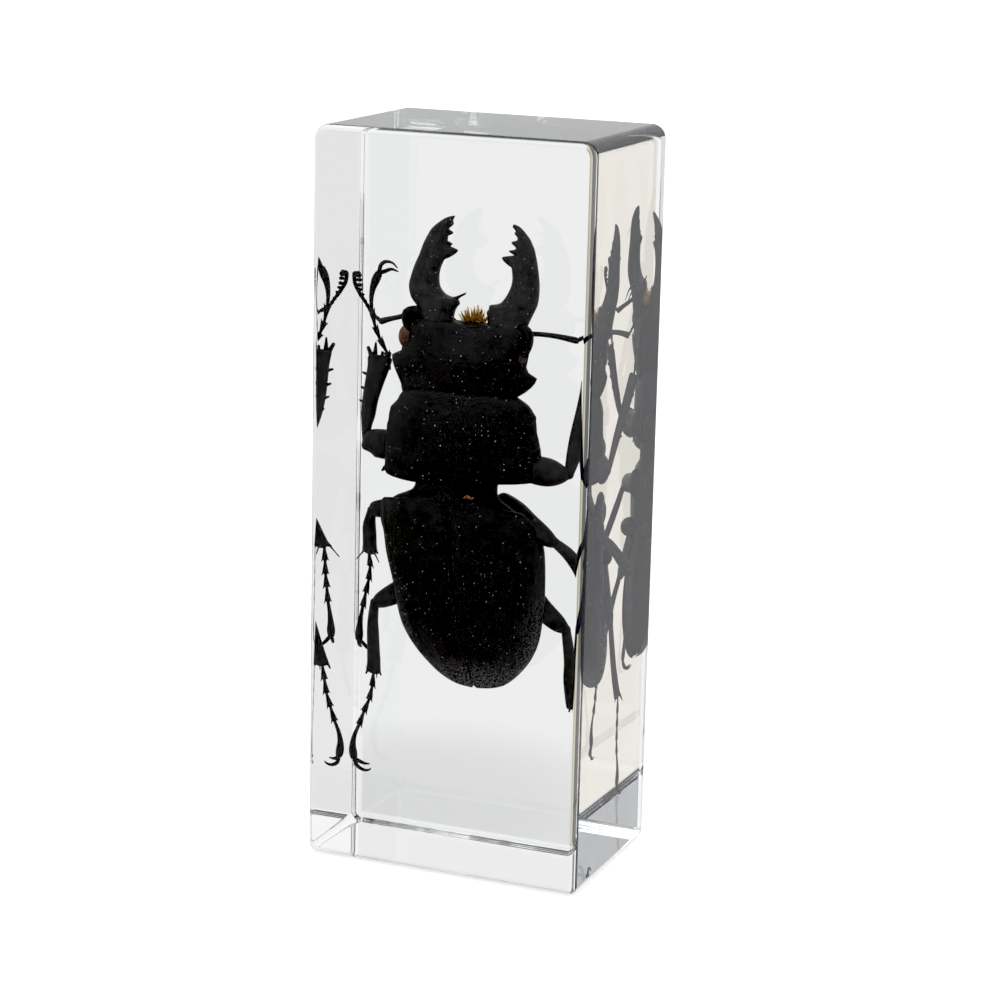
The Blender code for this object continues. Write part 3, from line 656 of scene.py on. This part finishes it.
jaws = {}
jaws["jawLeft"] = {
    "outer": [
        (79.4, -8.6), (81.6, -9.2), (83, -9.7), (84.2, -10.75), (85.1, -11.15), (86.2, -11.32),
        (87.2, -11.15), (89, -10.63), (90.7, -9.95), (92.3, -9.42), (93.7, -8.76), (94.4, -8.35),
        (95, -7.77), (95.5, -7.15), (96, -6.45), (96.3, -5.85), (96.45, -5.3), (96.52, -4.95)],
    "inner": [
        (79.4, -4), (81.8, -3.9), (82.8, -3.75), (83.7, -3.35), (84.55, -3.35), (84.75, -4.3),
        (84.95, -5.05), (85.3, -5.65), (85.8, -6.17), (86.4, -6.48), (87.3, -6.63), (88.2, -6.62),
        (89, -6.45), (89.8, -6.12), (90.5, -5.85), (92.2, -5.75), (93.2, -5.66), (94.4, -5.62),
        (95, -5.4), (95.6, -5.15), (96.1, -4.92), (96.52, -4.72)],
    "depth": [
        (79.4, 3, 2.3), (82.4, 3.4, 2.25), (84.8, 3.9, 2.05), (87, 4.4, 1.85), (89.4, 4.8, 1.65),
        (91.7, 5.2, 1.45), (93.4, 5.6, 1.25), (94.9, 5.9, 1), (95.8, 6.1, 0.7), (96.3, 6.2, 0.4),
        (96.52, 6.2, 0.15)],
    "teeth": [
        (95.3, 0.4, 0.5, 0.6), (94.05, 0.84, 0.45, 0.5), (92.42, 0.95, 0.4, 0.5), (91.6, 1.9, 0.6, 1.5),
        (83.9, 0.25, 0.3, 0.4)],
    "spine": [
        ((-4.4, 3.7, 84.3), 0.5, 0.42), ((-3.6, 3.75, 84.72), 0.34, 0.3), ((-3, 3.8, 85.08), 0.2, 0.19),
        ((-2.25, 3.9, 85.5), 0.15, 0.15)],
}
jaws["jawRight"] = {
    "outer": [
        (79.4, 7), (82, 7.9), (83.4, 8.5), (84.1, 8.8), (84.8, 9.02), (86, 9.12), (87.6, 9.07),
        (88.65, 8.94), (89.8, 8.71), (90.8, 8.48), (91.7, 8.2), (92.55, 7.92), (93.2, 7.56), (93.9, 7.13),
        (94.5, 6.56), (95.1, 5.92), (95.55, 5.33), (95.78, 4.85), (95.88, 4.55)],
    "inner": [
        (79.4, 1.6), (81.6, 1.5), (82.5, 1.4), (83.1, 1.25), (83.6, 1.55), (84.1, 1.65), (84.3, 2.6),
        (84.45, 3.05), (84.8, 3.52), (85.4, 3.98), (86.1, 4.36), (86.8, 4.65), (87.4, 4.81), (88.2, 4.87),
        (89, 4.78), (89.5, 4.68), (90.4, 4.65), (91.3, 4.85), (92.3, 5), (93.7, 5.15), (94.1, 5.13),
        (94.7, 4.87), (95.3, 4.52), (95.88, 4.25)],
    "depth": [
        (79.4, 3, 2.3), (82.4, 3.6, 2.25), (84.7, 4.1, 2.05), (86.8, 4.6, 1.85), (88.9, 4.9, 1.65),
        (91.2, 5.4, 1.45), (92.9, 5.8, 1.25), (94.1, 6.2, 1), (95, 6.6, 0.7), (95.6, 6.8, 0.4),
        (95.88, 6.8, 0.15)],
    "teeth": [
        (95.5, 0.26, 0.3, 0.4), (94.6, 0.36, 0.3, 0.45), (93.35, 0.9, 0.32, 0.65),
        (92.1, 1.08, 0.25, 0.5), (91.1, 1.88, 0.42, 1.35)],
    "spine": [((3.2, 3.9, 83.3), 0.7, 0.7), ((2.3, 3.9, 83.75), 0.5, 0.5), ((1.75, 3.9, 83.9), 0.3, 0.3)],
}
jawForm = {"segments": 32, "step": 0.16, "flatness": 0.75}


def makeJaw(name, form):
    bm = bmesh.new()
    low, high = form["outer"][0][0], form["outer"][-1][0]
    count = int((high - low) / jawForm["step"])
    rings = []
    for i in range(count + 1):
        z = mix(low, high, 1 - (1 - i / count) ** 1.15)  # closer rings at the tip
        outer, inner = sampleRows(form["outer"], z)[0], sampleRows(form["inner"], z)[0]
        y, thick = sampleRows(form["depth"], z)
        reach = standOut(form["teeth"], z)

        def place(turn):
            x, depth = math.cos(turn), math.sin(turn)  # x is -1 at the outer edge, 1 at the inner edge
            tooth = reach * max(x, 0.0) ** 4
            x = math.copysign(abs(x) ** jawForm["flatness"], x)
            ridge = 0.12 * thick * bell(x - 0.25, 0.3) * depth  # low keel along both faces
            point = Vector((mix(outer, inner, (x + 1) / 2), y - thick * depth - ridge, z))
            point.x += math.copysign(tooth, inner - outer)
            return point
        rings.append(addRing(bm, jawForm["segments"], place))
    loftRings(bm, rings)
    sweep(bm, form["spine"], (0, 1, 0), segments=10)
    finishPiece(name, bm, jawShell)


for name, form in jaws.items():
    makeJaw(name, form)
print("jaws ready")


# legs
# limbs: centre, half width, half thickness; teeth: root, tip, radius at the root, bluntness;
# foot: ends of the five joints, bow of the last one; claws: points of both claws after the foot's end

legs = {}
legs["legFrontLeft"] = {
    "thigh": [
        ((-5, 3.6, 62.3), 1.9, 1.7), ((-9, 2.6, 62.1), 2.1, 1.8), ((-12.4, 1.6, 62), 2.25, 1.9),
        ((-14.7, 1.1, 62.15), 2.15, 1.95), ((-16.1, 0.9, 62.1), 1.95, 1.6),
        ((-17.1, 0.8, 61.7), 0.95, 0.9)],
    "shin": [
        ((-17, 0.9, 61.7), 0.55, 0.7), ((-17.45, 2.5, 64.3), 0.78, 0.8), ((-17.45, 3.4, 66), 1.1, 0.85),
        ((-17.45, 4.5, 68.3), 1.25, 0.85), ((-17.15, 5.7, 70.8), 1.48, 0.8),
        ((-16.85, 6.7, 72.8), 1.72, 0.75), ((-16.75, 7.4, 74.4), 2, 0.6)],
    "wide": (1, 0, 0),
    "teeth": [
        ((-18.1, 7.5, 74.2), (-19, 8, 75.8), 0.6, 0.5), ((-17.7, 7.7, 74.6), (-17.65, 8, 76.6), 0.5, 0.3),
        ((-15.6, 7.5, 74.2), (-15.2, 7.8, 75.3), 0.6, 0.4),
        ((-16.5, 7.5, 74.2), (-16.5, 7.8, 75.3), 0.5, 0.4),
        ((-18.1, 6.2, 71.6), (-19.4, 6.4, 72), 0.42, 0.4),
        ((-18.2, 5.3, 69.5), (-19.35, 5.4, 69.9), 0.42, 0.4),
        ((-18.3, 4.4, 67.6), (-19.3, 4.5, 68), 0.36, 0.4),
        ((-18.2, 3.5, 65.9), (-18.75, 3.5, 66.2), 0.34, 0.5)],
    "foot": [
        (-15.2, 7.4, 73), (-15.7, 7.5, 75.2), (-16.8, 7.3, 77.1), (-17.55, 7.1, 78.9), (-18.1, 6.9, 81.4),
        (-17, 7, 87.1)],
    "bow": (-0.55, 0, 0),
    "claws": [
        [(-16.75, 6.6, 88), (-16.35, 6.5, 88.6), (-15.7, 6.5, 88.9), (-14.7, 6.4, 88.8),
         (-13.85, 6.3, 88.1)],
        [(-16.3, 7.7, 87.3), (-15.25, 7.9, 87.7), (-14.15, 7.9, 87.4)]],
}
legs["legFrontRight"] = {
    "thigh": [
        ((3, 3.6, 62.2), 1.9, 1.7), ((7.4, 1.2, 61.4), 2.1, 1.75), ((11, -0.9, 61.1), 2.12, 1.9),
        ((13.1, -1.6, 61.1), 2.02, 1.95), ((14.7, -1.8, 61.1), 1.5, 1.6), ((15.9, -1.7, 61.2), 0.8, 0.9)],
    "shin": [
        ((16, -1.6, 61.2), 0.7, 0.75), ((16.35, -0.1, 64), 1.1, 0.8), ((16.7, 1.7, 66.8), 1.35, 0.85),
        ((17.15, 3.6, 69.6), 1.55, 0.85), ((17.5, 5.4, 72.3), 1.75, 0.8),
        ((17.6, 6.5, 73.8), 1.95, 0.65)],
    "wide": (1, 0.3, -0.1),
    "teeth": [
        ((18.7, 6.3, 73.1), (19.8, 7.4, 74.9), 0.6, 0.4),
        ((17.3, 6.3, 73.2), (17.2, 7.2, 75.3), 0.5, 0.3),
        ((18.4, 4.6, 70.8), (19.7, 5.3, 71.3), 0.42, 0.4),
        ((18.1, 3.4, 69), (19.5, 4.1, 69.5), 0.42, 0.4), ((17.8, 2.1, 67), (19, 2.7, 67.4), 0.36, 0.4),
        ((17.5, 1, 65.4), (18.5, 1.6, 65.8), 0.34, 0.5)],
    "foot": [
        (17.4, 6.7, 73.6), (17.8, 6.9, 75.9), (18, 6.6, 77.9), (18, 6.1, 79.9), (17.9, 5.8, 81.8),
        (18, 6.8, 86.2)],
    "bow": (0.3, 0.2, 0),
    "claws": [
        [(17.9, 6.3, 87), (17.8, 5.2, 87.4), (17.6, 3.4, 87.1), (17.4, 1.9, 85.6)],
        [(18.4, 6.1, 86.6), (18.6, 4.9, 86.9), (18.6, 3.4, 86.5), (18.5, 2.2, 85.4)]],
}
legs["legMiddleLeft"] = {
    "thigh": [
        ((-6, 4, 53), 1.6, 1.5), ((-9.5, 3.1, 52.8), 1.5, 1.4), ((-12.4, 2, 52.5), 1.42, 1.4),
        ((-14.5, 1.1, 52.25), 1.33, 1.35), ((-15.75, 0.8, 52.05), 1.1, 1.1)],
    "shin": [
        ((-15.9, 0.8, 51.8), 0.7, 0.75), ((-16.35, 1.6, 50.6), 0.8, 0.85),
        ((-16.8, 2.6, 49.1), 1.03, 0.88), ((-17.15, 4.1, 47.4), 1.08, 0.9),
        ((-17.45, 5.3, 46), 1.08, 0.9), ((-17.75, 6.5, 44.6), 1.2, 0.75)],
    "wide": (1, 0, 0),
    "teeth": [
        ((-18.3, 6.8, 44.9), (-19.2, 7.2, 44.3), 0.5, 0.35),
        ((-18.9, 7.1, 44.45), (-20.35, 7.7, 42.8), 0.18, 0.6),
        ((-17.1, 6.9, 44.3), (-16.45, 7.5, 42.75), 0.18, 0.5),
        ((-16.9, 6.6, 45), (-16.5, 6.9, 44.2), 0.34, 0.5)],
    "foot": [
        (-18, 6.9, 44.3), (-17.95, 7.6, 42.1), (-18.1, 7.4, 40), (-18.45, 7, 38), (-18.8, 6.6, 35.8),
        (-19.4, 6.6, 30.4)],
    "bow": (-0.15, 0, 0),
    "claws": [
        [(-19.5, 7, 29.8), (-19.45, 7.6, 29.3), (-19.35, 8.2, 29.05)],
        [(-18.85, 7, 29.9), (-18.2, 7.4, 29.2), (-17.3, 7.9, 28.4), (-16.65, 8.3, 27.9)]],
}
legs["legMiddleRight"] = {
    "thigh": [
        ((4.2, 4, 54.9), 1.7, 1.5), ((7.2, 1.9, 54.2), 1.62, 1.45), ((9.8, -0.2, 52.95), 1.52, 1.4),
        ((12.3, -1.4, 51.55), 1.42, 1.35), ((14, -1.6, 50.7), 0.85, 0.9)],
    "shin": [
        ((14.1, -1.4, 50.7), 0.7, 0.7), ((15.35, 0.9, 49.15), 0.9, 0.85), ((16.3, 3, 47.4), 1.03, 0.85),
        ((16.85, 5.2, 45.6), 1.15, 0.85), ((17.2, 7.2, 44), 1.35, 0.8)],
    "wide": (0.5, 0.3, 0.7),
    "teeth": [
        ((17.6, 7.1, 43.9), (19.3, 8, 42.6), 0.3, 0.4), ((16.8, 7.5, 44.2), (16.6, 9.2, 43.4), 0.3, 0.4),
        ((16.6, 4.6, 46.8), (17.7, 5, 46.6), 0.3, 0.4)],
    "foot": [
        (17.3, 7.2, 43.8), (17.9, 6.7, 41.6), (18.3, 6.3, 39.8), (18.7, 5.8, 37.9), (19, 5.1, 36.2),
        (19.4, 4.4, 31)],
    "bow": (0.1, 0.1, 0),
    "claws": [
        [(19.2, 4.7, 30.2), (19.1, 5.5, 29.5), (19, 6.8, 29.2), (19, 7.8, 29.4)],
        [(19.9, 4.6, 30.2), (20.1, 5.4, 29.5), (20.2, 6.6, 29.2), (20.2, 7.6, 29.4)]],
}
legs["legHindLeft"] = {
    "thigh": [
        ((-5.6, 4.8, 44.6), 1.7, 1.5), ((-8.6, 4.2, 41.6), 1.75, 1.5), ((-11.2, 3.4, 39.9), 1.68, 1.5),
        ((-13.2, 2.6, 38.7), 1.5, 1.4), ((-14.6, 2, 37.9), 1.2, 1.2), ((-15.3, 1.8, 37.5), 0.85, 0.9)],
    "shin": [
        ((-15.5, 1.8, 37.4), 0.7, 0.75), ((-15.85, 2.5, 36), 0.75, 0.78),
        ((-16.24, 3.5, 34.3), 0.83, 0.82), ((-16.5, 4.6, 32.2), 0.95, 0.85),
        ((-16.77, 5.9, 29.9), 0.98, 0.85), ((-17, 7.1, 27.9), 1.04, 0.85),
        ((-17.2, 7.9, 26.5), 1.08, 0.85), ((-17.4, 8.4, 25.4), 1.2, 0.7)],
    "wide": (1, 0, 0),
    "teeth": [
        ((-18.2, 8.3, 25.8), (-18.75, 8.7, 24.7), 0.36, 0.35),
        ((-16.5, 8.2, 25.8), (-16.1, 8.6, 24.8), 0.32, 0.4),
        ((-16.9, 8.6, 25.2), (-16.95, 8.9, 24.2), 0.16, 0.4)],
    "foot": [
        (-17.4, 8.5, 25.2), (-17.67, 8.9, 22.9), (-18.1, 8.7, 20.75), (-18.87, 8.4, 18.75),
        (-19.65, 8.35, 16.5), (-20.45, 8.4, 10.95)],
    "bow": (-0.6, 0, 0),
    "claws": [
        [(-20.25, 8.7, 10.2), (-20, 8.9, 9.7), (-19.5, 9.1, 9.3), (-18.8, 9.2, 9.1), (-18.1, 9.2, 9.25),
         (-17.8, 9.2, 9.55)],
        [(-19.75, 9.6, 10.3), (-19.1, 10.1, 10), (-18.3, 10.3, 10)]],
}
legs["legHindRight"] = {
    "thigh": [
        ((5.4, 4.8, 45.4), 1.7, 1.5), ((8.6, 3.8, 42.4), 1.72, 1.5), ((11.5, 2.8, 39.7), 1.62, 1.5),
        ((13.9, 2.2, 38.1), 1.38, 1.35), ((15.3, 1.7, 37.4), 0.85, 0.9)],
    "shin": [
        ((15.5, 1.6, 37.3), 0.7, 0.7), ((15.85, 1.8, 35), 0.8, 0.8), ((16.05, 2.4, 32.2), 0.85, 0.8),
        ((15.85, 3.3, 29.5), 0.9, 0.8), ((16.1, 4.3, 26.4), 1, 0.8), ((16.3, 4.8, 25.1), 1.1, 0.7)],
    "wide": (0.8, 0.5, 0),
    "teeth": [
        ((17.3, 5, 25.5), (18.1, 5.8, 24.2), 0.34, 0.35),
        ((16.2, 4.6, 25.5), (15.7, 4.2, 24.2), 0.32, 0.35)],
    "foot": [
        (16.8, 4.7, 25), (17.4, 4.3, 22.6), (17.8, 4, 20.6), (18.1, 3.8, 18.6), (18.4, 3.8, 16.4),
        (18.9, 3.9, 11.6)],
    "bow": (0.3, 0.1, 0),
    "claws": [
        [(18.8, 4.2, 10.8), (18.9, 4.8, 10.2), (19.1, 5.6, 9.9), (19.3, 6.2, 10.1)],
        [(19.4, 3.9, 10.7), (19.7, 4.4, 10.1), (20, 5.1, 9.8)]],
}
legForm = {
    "thighWidth": 1.05, "shinWidth": 1.07, "knee": (0.8, 0.9, 0.8),  # widths are shares of the table's
    "root": 0.24, "end": 0.56, "spur": (0.16, 0.42), "lastJoint": (0.28, 0.36, 0.54, 0.72, 0.6),
    "claw": (0.36, 0.31, 0.10),
}


def makeFoot(bm, joints, bow, claws, form):
    thin, broad = form["root"], form["end"]
    for i in range(4):  # four bell-shaped joints, each with two spurs at its end
        root, end = Vector(joints[i]), Vector(joints[i + 1])
        way = (end - root).normalized()
        back = root - way * 0.3
        side = way.cross(Vector((0.3, 1, 0.1))).normalized()
        if side.x * joints[0][0] > 0:
            side = -side  # towards the middle of the block, where the long spurs are
        sweep(bm, [(back, thin, thin), (back.lerp(end, 0.4), thin * 1.2, thin * 1.2),
                   (back.lerp(end, 0.8), broad * 0.95, broad * 0.85), (end, broad * 0.8, broad * 0.7)],
              side, segments=10, steps=2)
        for sign, spur in zip((-1, 1), form["spur"]):
            start = end + side * sign * broad * 0.6 - way * 0.35
            tip = start + side * sign * 0.3 + way * (spur + 0.3)
            addThorn(bm, start, tip, 0.2, wide=way.cross(side), segments=6, blunt=0.3)
    root, end = Vector(joints[4]), Vector(joints[5])
    way = (end - root).normalized()
    marks = (0.0, 0.3, 0.6, 0.82, 1.0)
    run = [(root.lerp(end, mark) + Vector(bow) * math.sin(mark * math.pi), size, size * 0.9)
           for mark, size in zip(marks, form["lastJoint"])]
    run.insert(0, (root - way * 0.35, form["lastJoint"][0], form["lastJoint"][0]))
    sweep(bm, run, (1, 0, 0))
    for claw in claws:
        points = [end.lerp(Vector(claw[0]), -0.3)] + [Vector(point) for point in claw]
        rows = list(enumerate(form["claw"]))
        sizes = [sampleRows(rows, 2 * i / (len(points) - 1))[0] for i in range(len(points))]
        sweep(bm, rod(points, sizes), (0, 1, 0), segments=10, steps=4)


def makeLeg(name, form, sizes):
    bm = bmesh.new()
    thigh = [(at, wide * sizes["thighWidth"], thick) for at, wide, thick in form["thigh"]]
    shin = [(at, wide * sizes["shinWidth"], thick) for at, wide, thick in form["shin"]]
    sweep(bm, thigh, (0, 0, 1), segments=18)
    sweep(bm, shin, form["wide"], segments=16)
    for root, tip, radius, blunt in form["teeth"]:
        addThorn(bm, root, tip, radius, bend=(0, 0.05, 0), blunt=blunt)
    addBall(bm, form["shin"][0][0], sizes["knee"], 14, 10)
    makeFoot(bm, form["foot"], form["bow"], form["claws"], sizes)
    finishPiece(name, bm, legShell, subdivide=1)


for name, form in legs.items():
    makeLeg(name, form, legForm)
print("legs ready")


# feelers

feelers = {}
feelers["feelerLeft"] = {
    "scape": [(-10.6, 2.2, 81.9), (-12.6, 3.2, 81.2), (-14.4, 4.2, 80.65), (-16.1, 5.2, 80.05)],
    "chain": [
        (-16.1, 5.2, 80.05), (-17.5, 6.2, 80.8), (-18.6, 7, 81.65), (-19.2, 7, 82.6), (-19.85, 7, 83.35)],
    "club": [
        (-19.85, 7, 83.35), (-20.4, 7, 84.2), (-20.9, 7.1, 85), (-21.1, 7.2, 85.8), (-21.15, 7.2, 86.7)],
    "leaf": (1, 0.15, 0),
}
feelers["feelerRight"] = {
    "scape": [(7.6, 2, 80.6), (9.8, 3, 80.65), (12.4, 4.3, 80.4), (15, 5.6, 79.9)],
    "chain": [(15, 5.6, 79.9), (16.4, 6, 80.9), (17.6, 6.4, 82), (18.6, 6.6, 83.2)],
    "club": [(18.6, 6.6, 83.2), (19.3, 6.9, 84.2), (19.8, 7.1, 85.3), (20, 7.2, 86.6)],
    "leaf": (-1, 0.2, 0),
}
feelerForm = {
    "scape": (0.42, 0.38, 0.42, 0.54), "beads": 6, "bead": 0.36, "club": 0.34,
    # leaves of the club: place along it, length, half thickness
    "leaves": [(0.08, 0.6, 0.24), (0.3, 0.8, 0.27), (0.5, 1.0, 0.33),
               (0.73, 1.15, 0.32), (0.93, 1.05, 0.48), (1.0, 0.9, 0.42)],
}


def makeFeeler(name, form, sizes):
    bm = bmesh.new()
    sweep(bm, rod(form["scape"], sizes["scape"]), (0, 1, 0))
    bead = sizes["bead"]
    for i in range(sizes["beads"]):
        root = alongPoints(form["chain"], i / sizes["beads"])
        end = alongPoints(form["chain"], (i + 1) / sizes["beads"])
        way = (end - root).normalized()
        points = (root - way * 0.12, root.lerp(end, 0.6), end)
        sweep(bm, rod(points, (bead * 0.5, bead, bead * 0.75)), (0, 1, 0), segments=10, steps=2)
    sweep(bm, rod(form["club"], [sizes["club"]] * len(form["club"])), (0, 1, 0), segments=10)
    for place, length, thick in sizes["leaves"]:
        root = alongPoints(form["club"], place)
        reach = Vector(form["leaf"]).normalized() * length
        sweep(bm, [(root, thick * 0.8, thick * 0.8), (root + reach * 0.5, thick * 0.8, thick),
                   (root + reach * 0.85, thick, thick * 1.3), (root + reach, thick * 0.7, thick * 0.8)],
              (0, 0, 1), segments=10, steps=2)
    finishPiece(name, bm, legShell, subdivide=1)


for name, form in feelers.items():
    makeFeeler(name, form, feelerForm)
print("feelers ready")


# mouth

mouthForm = {"hairs": 70, "centre": (-0.8, 4.0, 80.9), "width": 2.0, "length": (1.8, 3.2), "radius": 0.18}


def makeMouth(form):
    bm = bmesh.new()
    for side in (-1, 1):  # two golden brushes that fan out over the lip
        for _ in range(form["hairs"] // 2):
            spread = chance.uniform(0.0, 1.0)
            shift = Vector((side * spread * form["width"] * 0.6, chance.uniform(-0.5, 0.6), 0))
            root = Vector(form["centre"]) + shift
            length = chance.uniform(*form["length"]) * (1 - 0.35 * spread)
            lean = Vector((side * spread * 0.75, chance.uniform(-0.25, 0.25), 1)).normalized()
            tip = root + lean * length
            addThorn(bm, root - lean * 0.4, tip, form["radius"], bend=(side * 0.12 * spread, 0, 0.1),
                     segments=5, blunt=0.25)
    finishPiece("mouthBrush", bm, goldHair)
    bm = bmesh.new()
    for side, shift in ((-1, -0.9), (1, -0.8)):  # jointed mouth feelers under the jaws
        points = [(side * 1.8 + shift, 5.2, 79.0), (side * 2.8 + shift, 5.9, 80.2),
                  (side * 3.9 + shift, 6.3, 81.4), (side * 4.1 + shift, 6.4, 82.8)]
        for near, far in zip(points, points[1:]):
            between = Vector(near).lerp(Vector(far), 0.7)
            sweep(bm, rod((near, between, far), (0.2, 0.36, 0.26)), (0, 1, 0), segments=10, steps=2)
    finishPiece("mouthFeelers", bm, legShell, subdivide=1)


makeMouth(mouthForm)
print("mouth ready")


# tiny bubbles

bubbleForm = {
    "onShell": 330, "radius": (0.035, 0.07), "largeRadius": (0.08, 0.12), "largeShare": 0.025,
    "inResin": 40, "resinRadius": (0.03, 0.06), "room": ((-20, 20), (-12, 12), (6, 104)),
}


def makeBubbles(form):
    spots = []
    for name in ("pronotum", "head", "wingCaseLeft", "wingCaseRight", "jawLeft", "jawRight"):
        mesh = bpy.data.objects[name].data
        faces = [face for face in mesh.polygons if face.normal.y < -0.25]
        spots += [(face.area, face.center.copy(), face.normal.copy()) for face in faces]
    areas = [spot[0] for spot in spots]
    bm = bmesh.new()

    def addBubble(centre, radius):
        bmesh.ops.create_icosphere(bm, subdivisions=1, radius=radius * mm, matrix=Matrix.Translation(centre))
    for _, centre, normal in chance.choices(spots, weights=areas, k=form["onShell"]):
        big = chance.random() < form["largeShare"]
        radius = chance.uniform(*(form["largeRadius"] if big else form["radius"]))
        addBubble(centre + normal * radius * 0.6 * mm, radius)
    for _ in range(form["inResin"]):
        centre = Vector([chance.uniform(*span) for span in form["room"]]) * mm
        addBubble(centre, chance.uniform(*form["resinRadius"]))
    finishPiece("tinyBubbles", bm, bubbleWhite)


makeBubbles(bubbleForm)
print("bubbles ready")


# floor, light and camera

studio = {
    "floorSize": 6.0, "floorGap": 0.2, "floorColour": (0.6, 0.6, 0.6), "floorGlow": 0.62,
    "room": (1.0, 1.0, 1.0), "seenRoom": (1.05, 1.05, 1.05),
    # soft light and dark cards far around the block: way to the middle, full and fading radius in degrees,
    # colour, and how far up and down the card is stretched
    "cards": [
        ((0.3, -0.9, 0.45), 30, 50, (0.10, 0.10, 0.11), 1),
        ((0, 0, 1), 25, 45, (1.4, 1.4, 1.4), 1),
        ((-0.25, -0.6, 0.75), 22, 38, (1.9, 1.95, 2.1), 1),
        ((-0.72, -0.1, -0.68), 14, 30, (0.09, 0.088, 0.085), 1),
        ((-0.374, -0.897, -0.234), 14, 26, (0.92, 0.876, 0.79), 1),
        ((-0.374, 0.897, 0.32), 12, 24, (0.90, 0.90, 0.90), 1),
        ((-0.374, 0.897, -0.234), 17, 26, (0.885, 0.895, 0.892), 1),
        ((0.42, 0.87, -0.234), 14, 26, (0.84, 0.84, 0.84), 1),
        ((-0.45, 0.05, -0.9), 32, 48, (0.03, 0.026, 0.02), 1),
        ((-0.43, -0.64, -0.64), 12, 20, (0.22, 0.215, 0.20), 1),
        ((-0.40, -0.87, 0.27), 8, 17, (0.42, 0.42, 0.43), 1),
        ((-0.69, 0.5, -0.22), 11, 17, (0.17, 0.165, 0.15), 3),
        ((-0.55, 0.79, -0.22), 2, 4.5, (0.66, 0.58, 0.38), 4),
        ((-0.49, 0.84, -0.22), 0.8, 2.5, (0.35, 0.35, 0.34), 5),
        # a painted shadow: a small soft grey patch that stands for the block's shadow on the table behind it
        ((-0.383, 0.857, -0.333), 0.4, 2.6, (0.74, 0.745, 0.745), 0.2),
    ],
}


def makeStudio(form):
    paper, tree, shader = newMaterial("paper", form["floorColour"], 0.9, Specular_IOR_Level=0.0,
                                      Emission_Color=(1, 1, 1, 1), Emission_Strength=form["floorGlow"])
    seen = addNode(tree, "ShaderNodeLightPath").outputs["Is Camera Ray"]
    clear = addNode(tree, "ShaderNodeBsdfTransparent").outputs["BSDF"]
    swap = addNode(tree, "ShaderNodeMixShader", {0: seen, 1: clear, 2: shader.outputs["BSDF"]}).outputs[0]
    tree.links.new(swap, tree.nodes["Material Output"].inputs["Surface"])
    bm = bmesh.new()
    bmesh.ops.create_grid(bm, x_segments=1, y_segments=1, size=form["floorSize"],
                          matrix=Matrix.Translation((0, 0, blockLow.z - form["floorGap"] * mm)))
    finishPiece("floor", bm, paper, stage=True)
    world = bpy.data.worlds.new("studio")
    scene.world = world
    world.use_nodes = True
    tree = world.node_tree
    way = addNode(tree, "ShaderNodeTexCoord").outputs["Generated"]
    colour = addNode(tree, "ShaderNodeRGB").outputs["Color"]
    colour.default_value = (*form["room"], 1)
    for centre, full, fade, tint, tall in form["cards"]:
        squeeze = Vector((1, 1, 1 / tall))
        flat = addNode(tree, "ShaderNodeVectorMath", {0: way, 1: squeeze}, operation='MULTIPLY')
        unit = addNode(tree, "ShaderNodeVectorMath", {0: flat.outputs["Vector"]}, operation='NORMALIZE')
        middle = (Vector(centre).normalized() * squeeze).normalized()
        near = addNode(tree, "ShaderNodeVectorMath", {0: unit.outputs["Vector"], 1: middle},
                       operation='DOT_PRODUCT')
        share = addNode(tree, "ShaderNodeMapRange", {"Value": near.outputs["Value"],
                                                     "From Min": math.cos(math.radians(fade)),
                                                     "From Max": math.cos(math.radians(full))},
                        interpolation_type='SMOOTHSTEP').outputs["Result"]
        colour = mixColours(tree, share, colour, (*tint, 1))
    seen = addNode(tree, "ShaderNodeLightPath").outputs["Is Camera Ray"]
    plain = mixColours(tree, seen, colour, (*form["seenRoom"], 1))
    tree.links.new(plain, tree.nodes["Background"].inputs["Color"])


cameraForm = {
    "place": (162.88, -384.51, 154.53), "yaw": 22.64, "pitch": 13.517, "roll": 1.32,  # mm and degrees
    "lens": 103.82, "sensor": 36, "clip": (0.01, 50),
}


def makeCamera(form):
    data = bpy.data.cameras.new("camera")
    camera = bpy.data.objects.new("camera", data)
    scene.collection.objects.link(camera)
    yaw, pitch, roll = (math.radians(form[key]) for key in ("yaw", "pitch", "roll"))
    ahead = Vector((-math.sin(yaw) * math.cos(pitch), math.cos(yaw) * math.cos(pitch), -math.sin(pitch)))
    level = ahead.cross(Vector((0, 0, 1))).normalized()
    above = level.cross(ahead)
    right = math.cos(roll) * level + math.sin(roll) * above
    up = -math.sin(roll) * level + math.cos(roll) * above
    pose = Matrix((right, up, -ahead)).transposed().to_4x4()
    pose.translation = Vector(form["place"]) * mm
    camera.matrix_world = pose
    data.lens = form["lens"]
    data.sensor_width = form["sensor"]
    data.clip_start, data.clip_end = form["clip"]
    scene.camera = camera


makeStudio(studio)
makeCamera(cameraForm)
scene.view_settings.view_transform = 'Standard'
scene.view_settings.use_curve_mapping = True  # deep blacks, as in a print
scene.view_settings.curve_mapping.black_level = (0.055, 0.0538, 0.0508)
scene.view_settings.curve_mapping.update()
scene.cycles.max_bounces = 24
scene.cycles.transmission_bounces = 24
scene.cycles.glossy_bounces = 12
scene.cycles.diffuse_bounces = 4
print("studio ready")
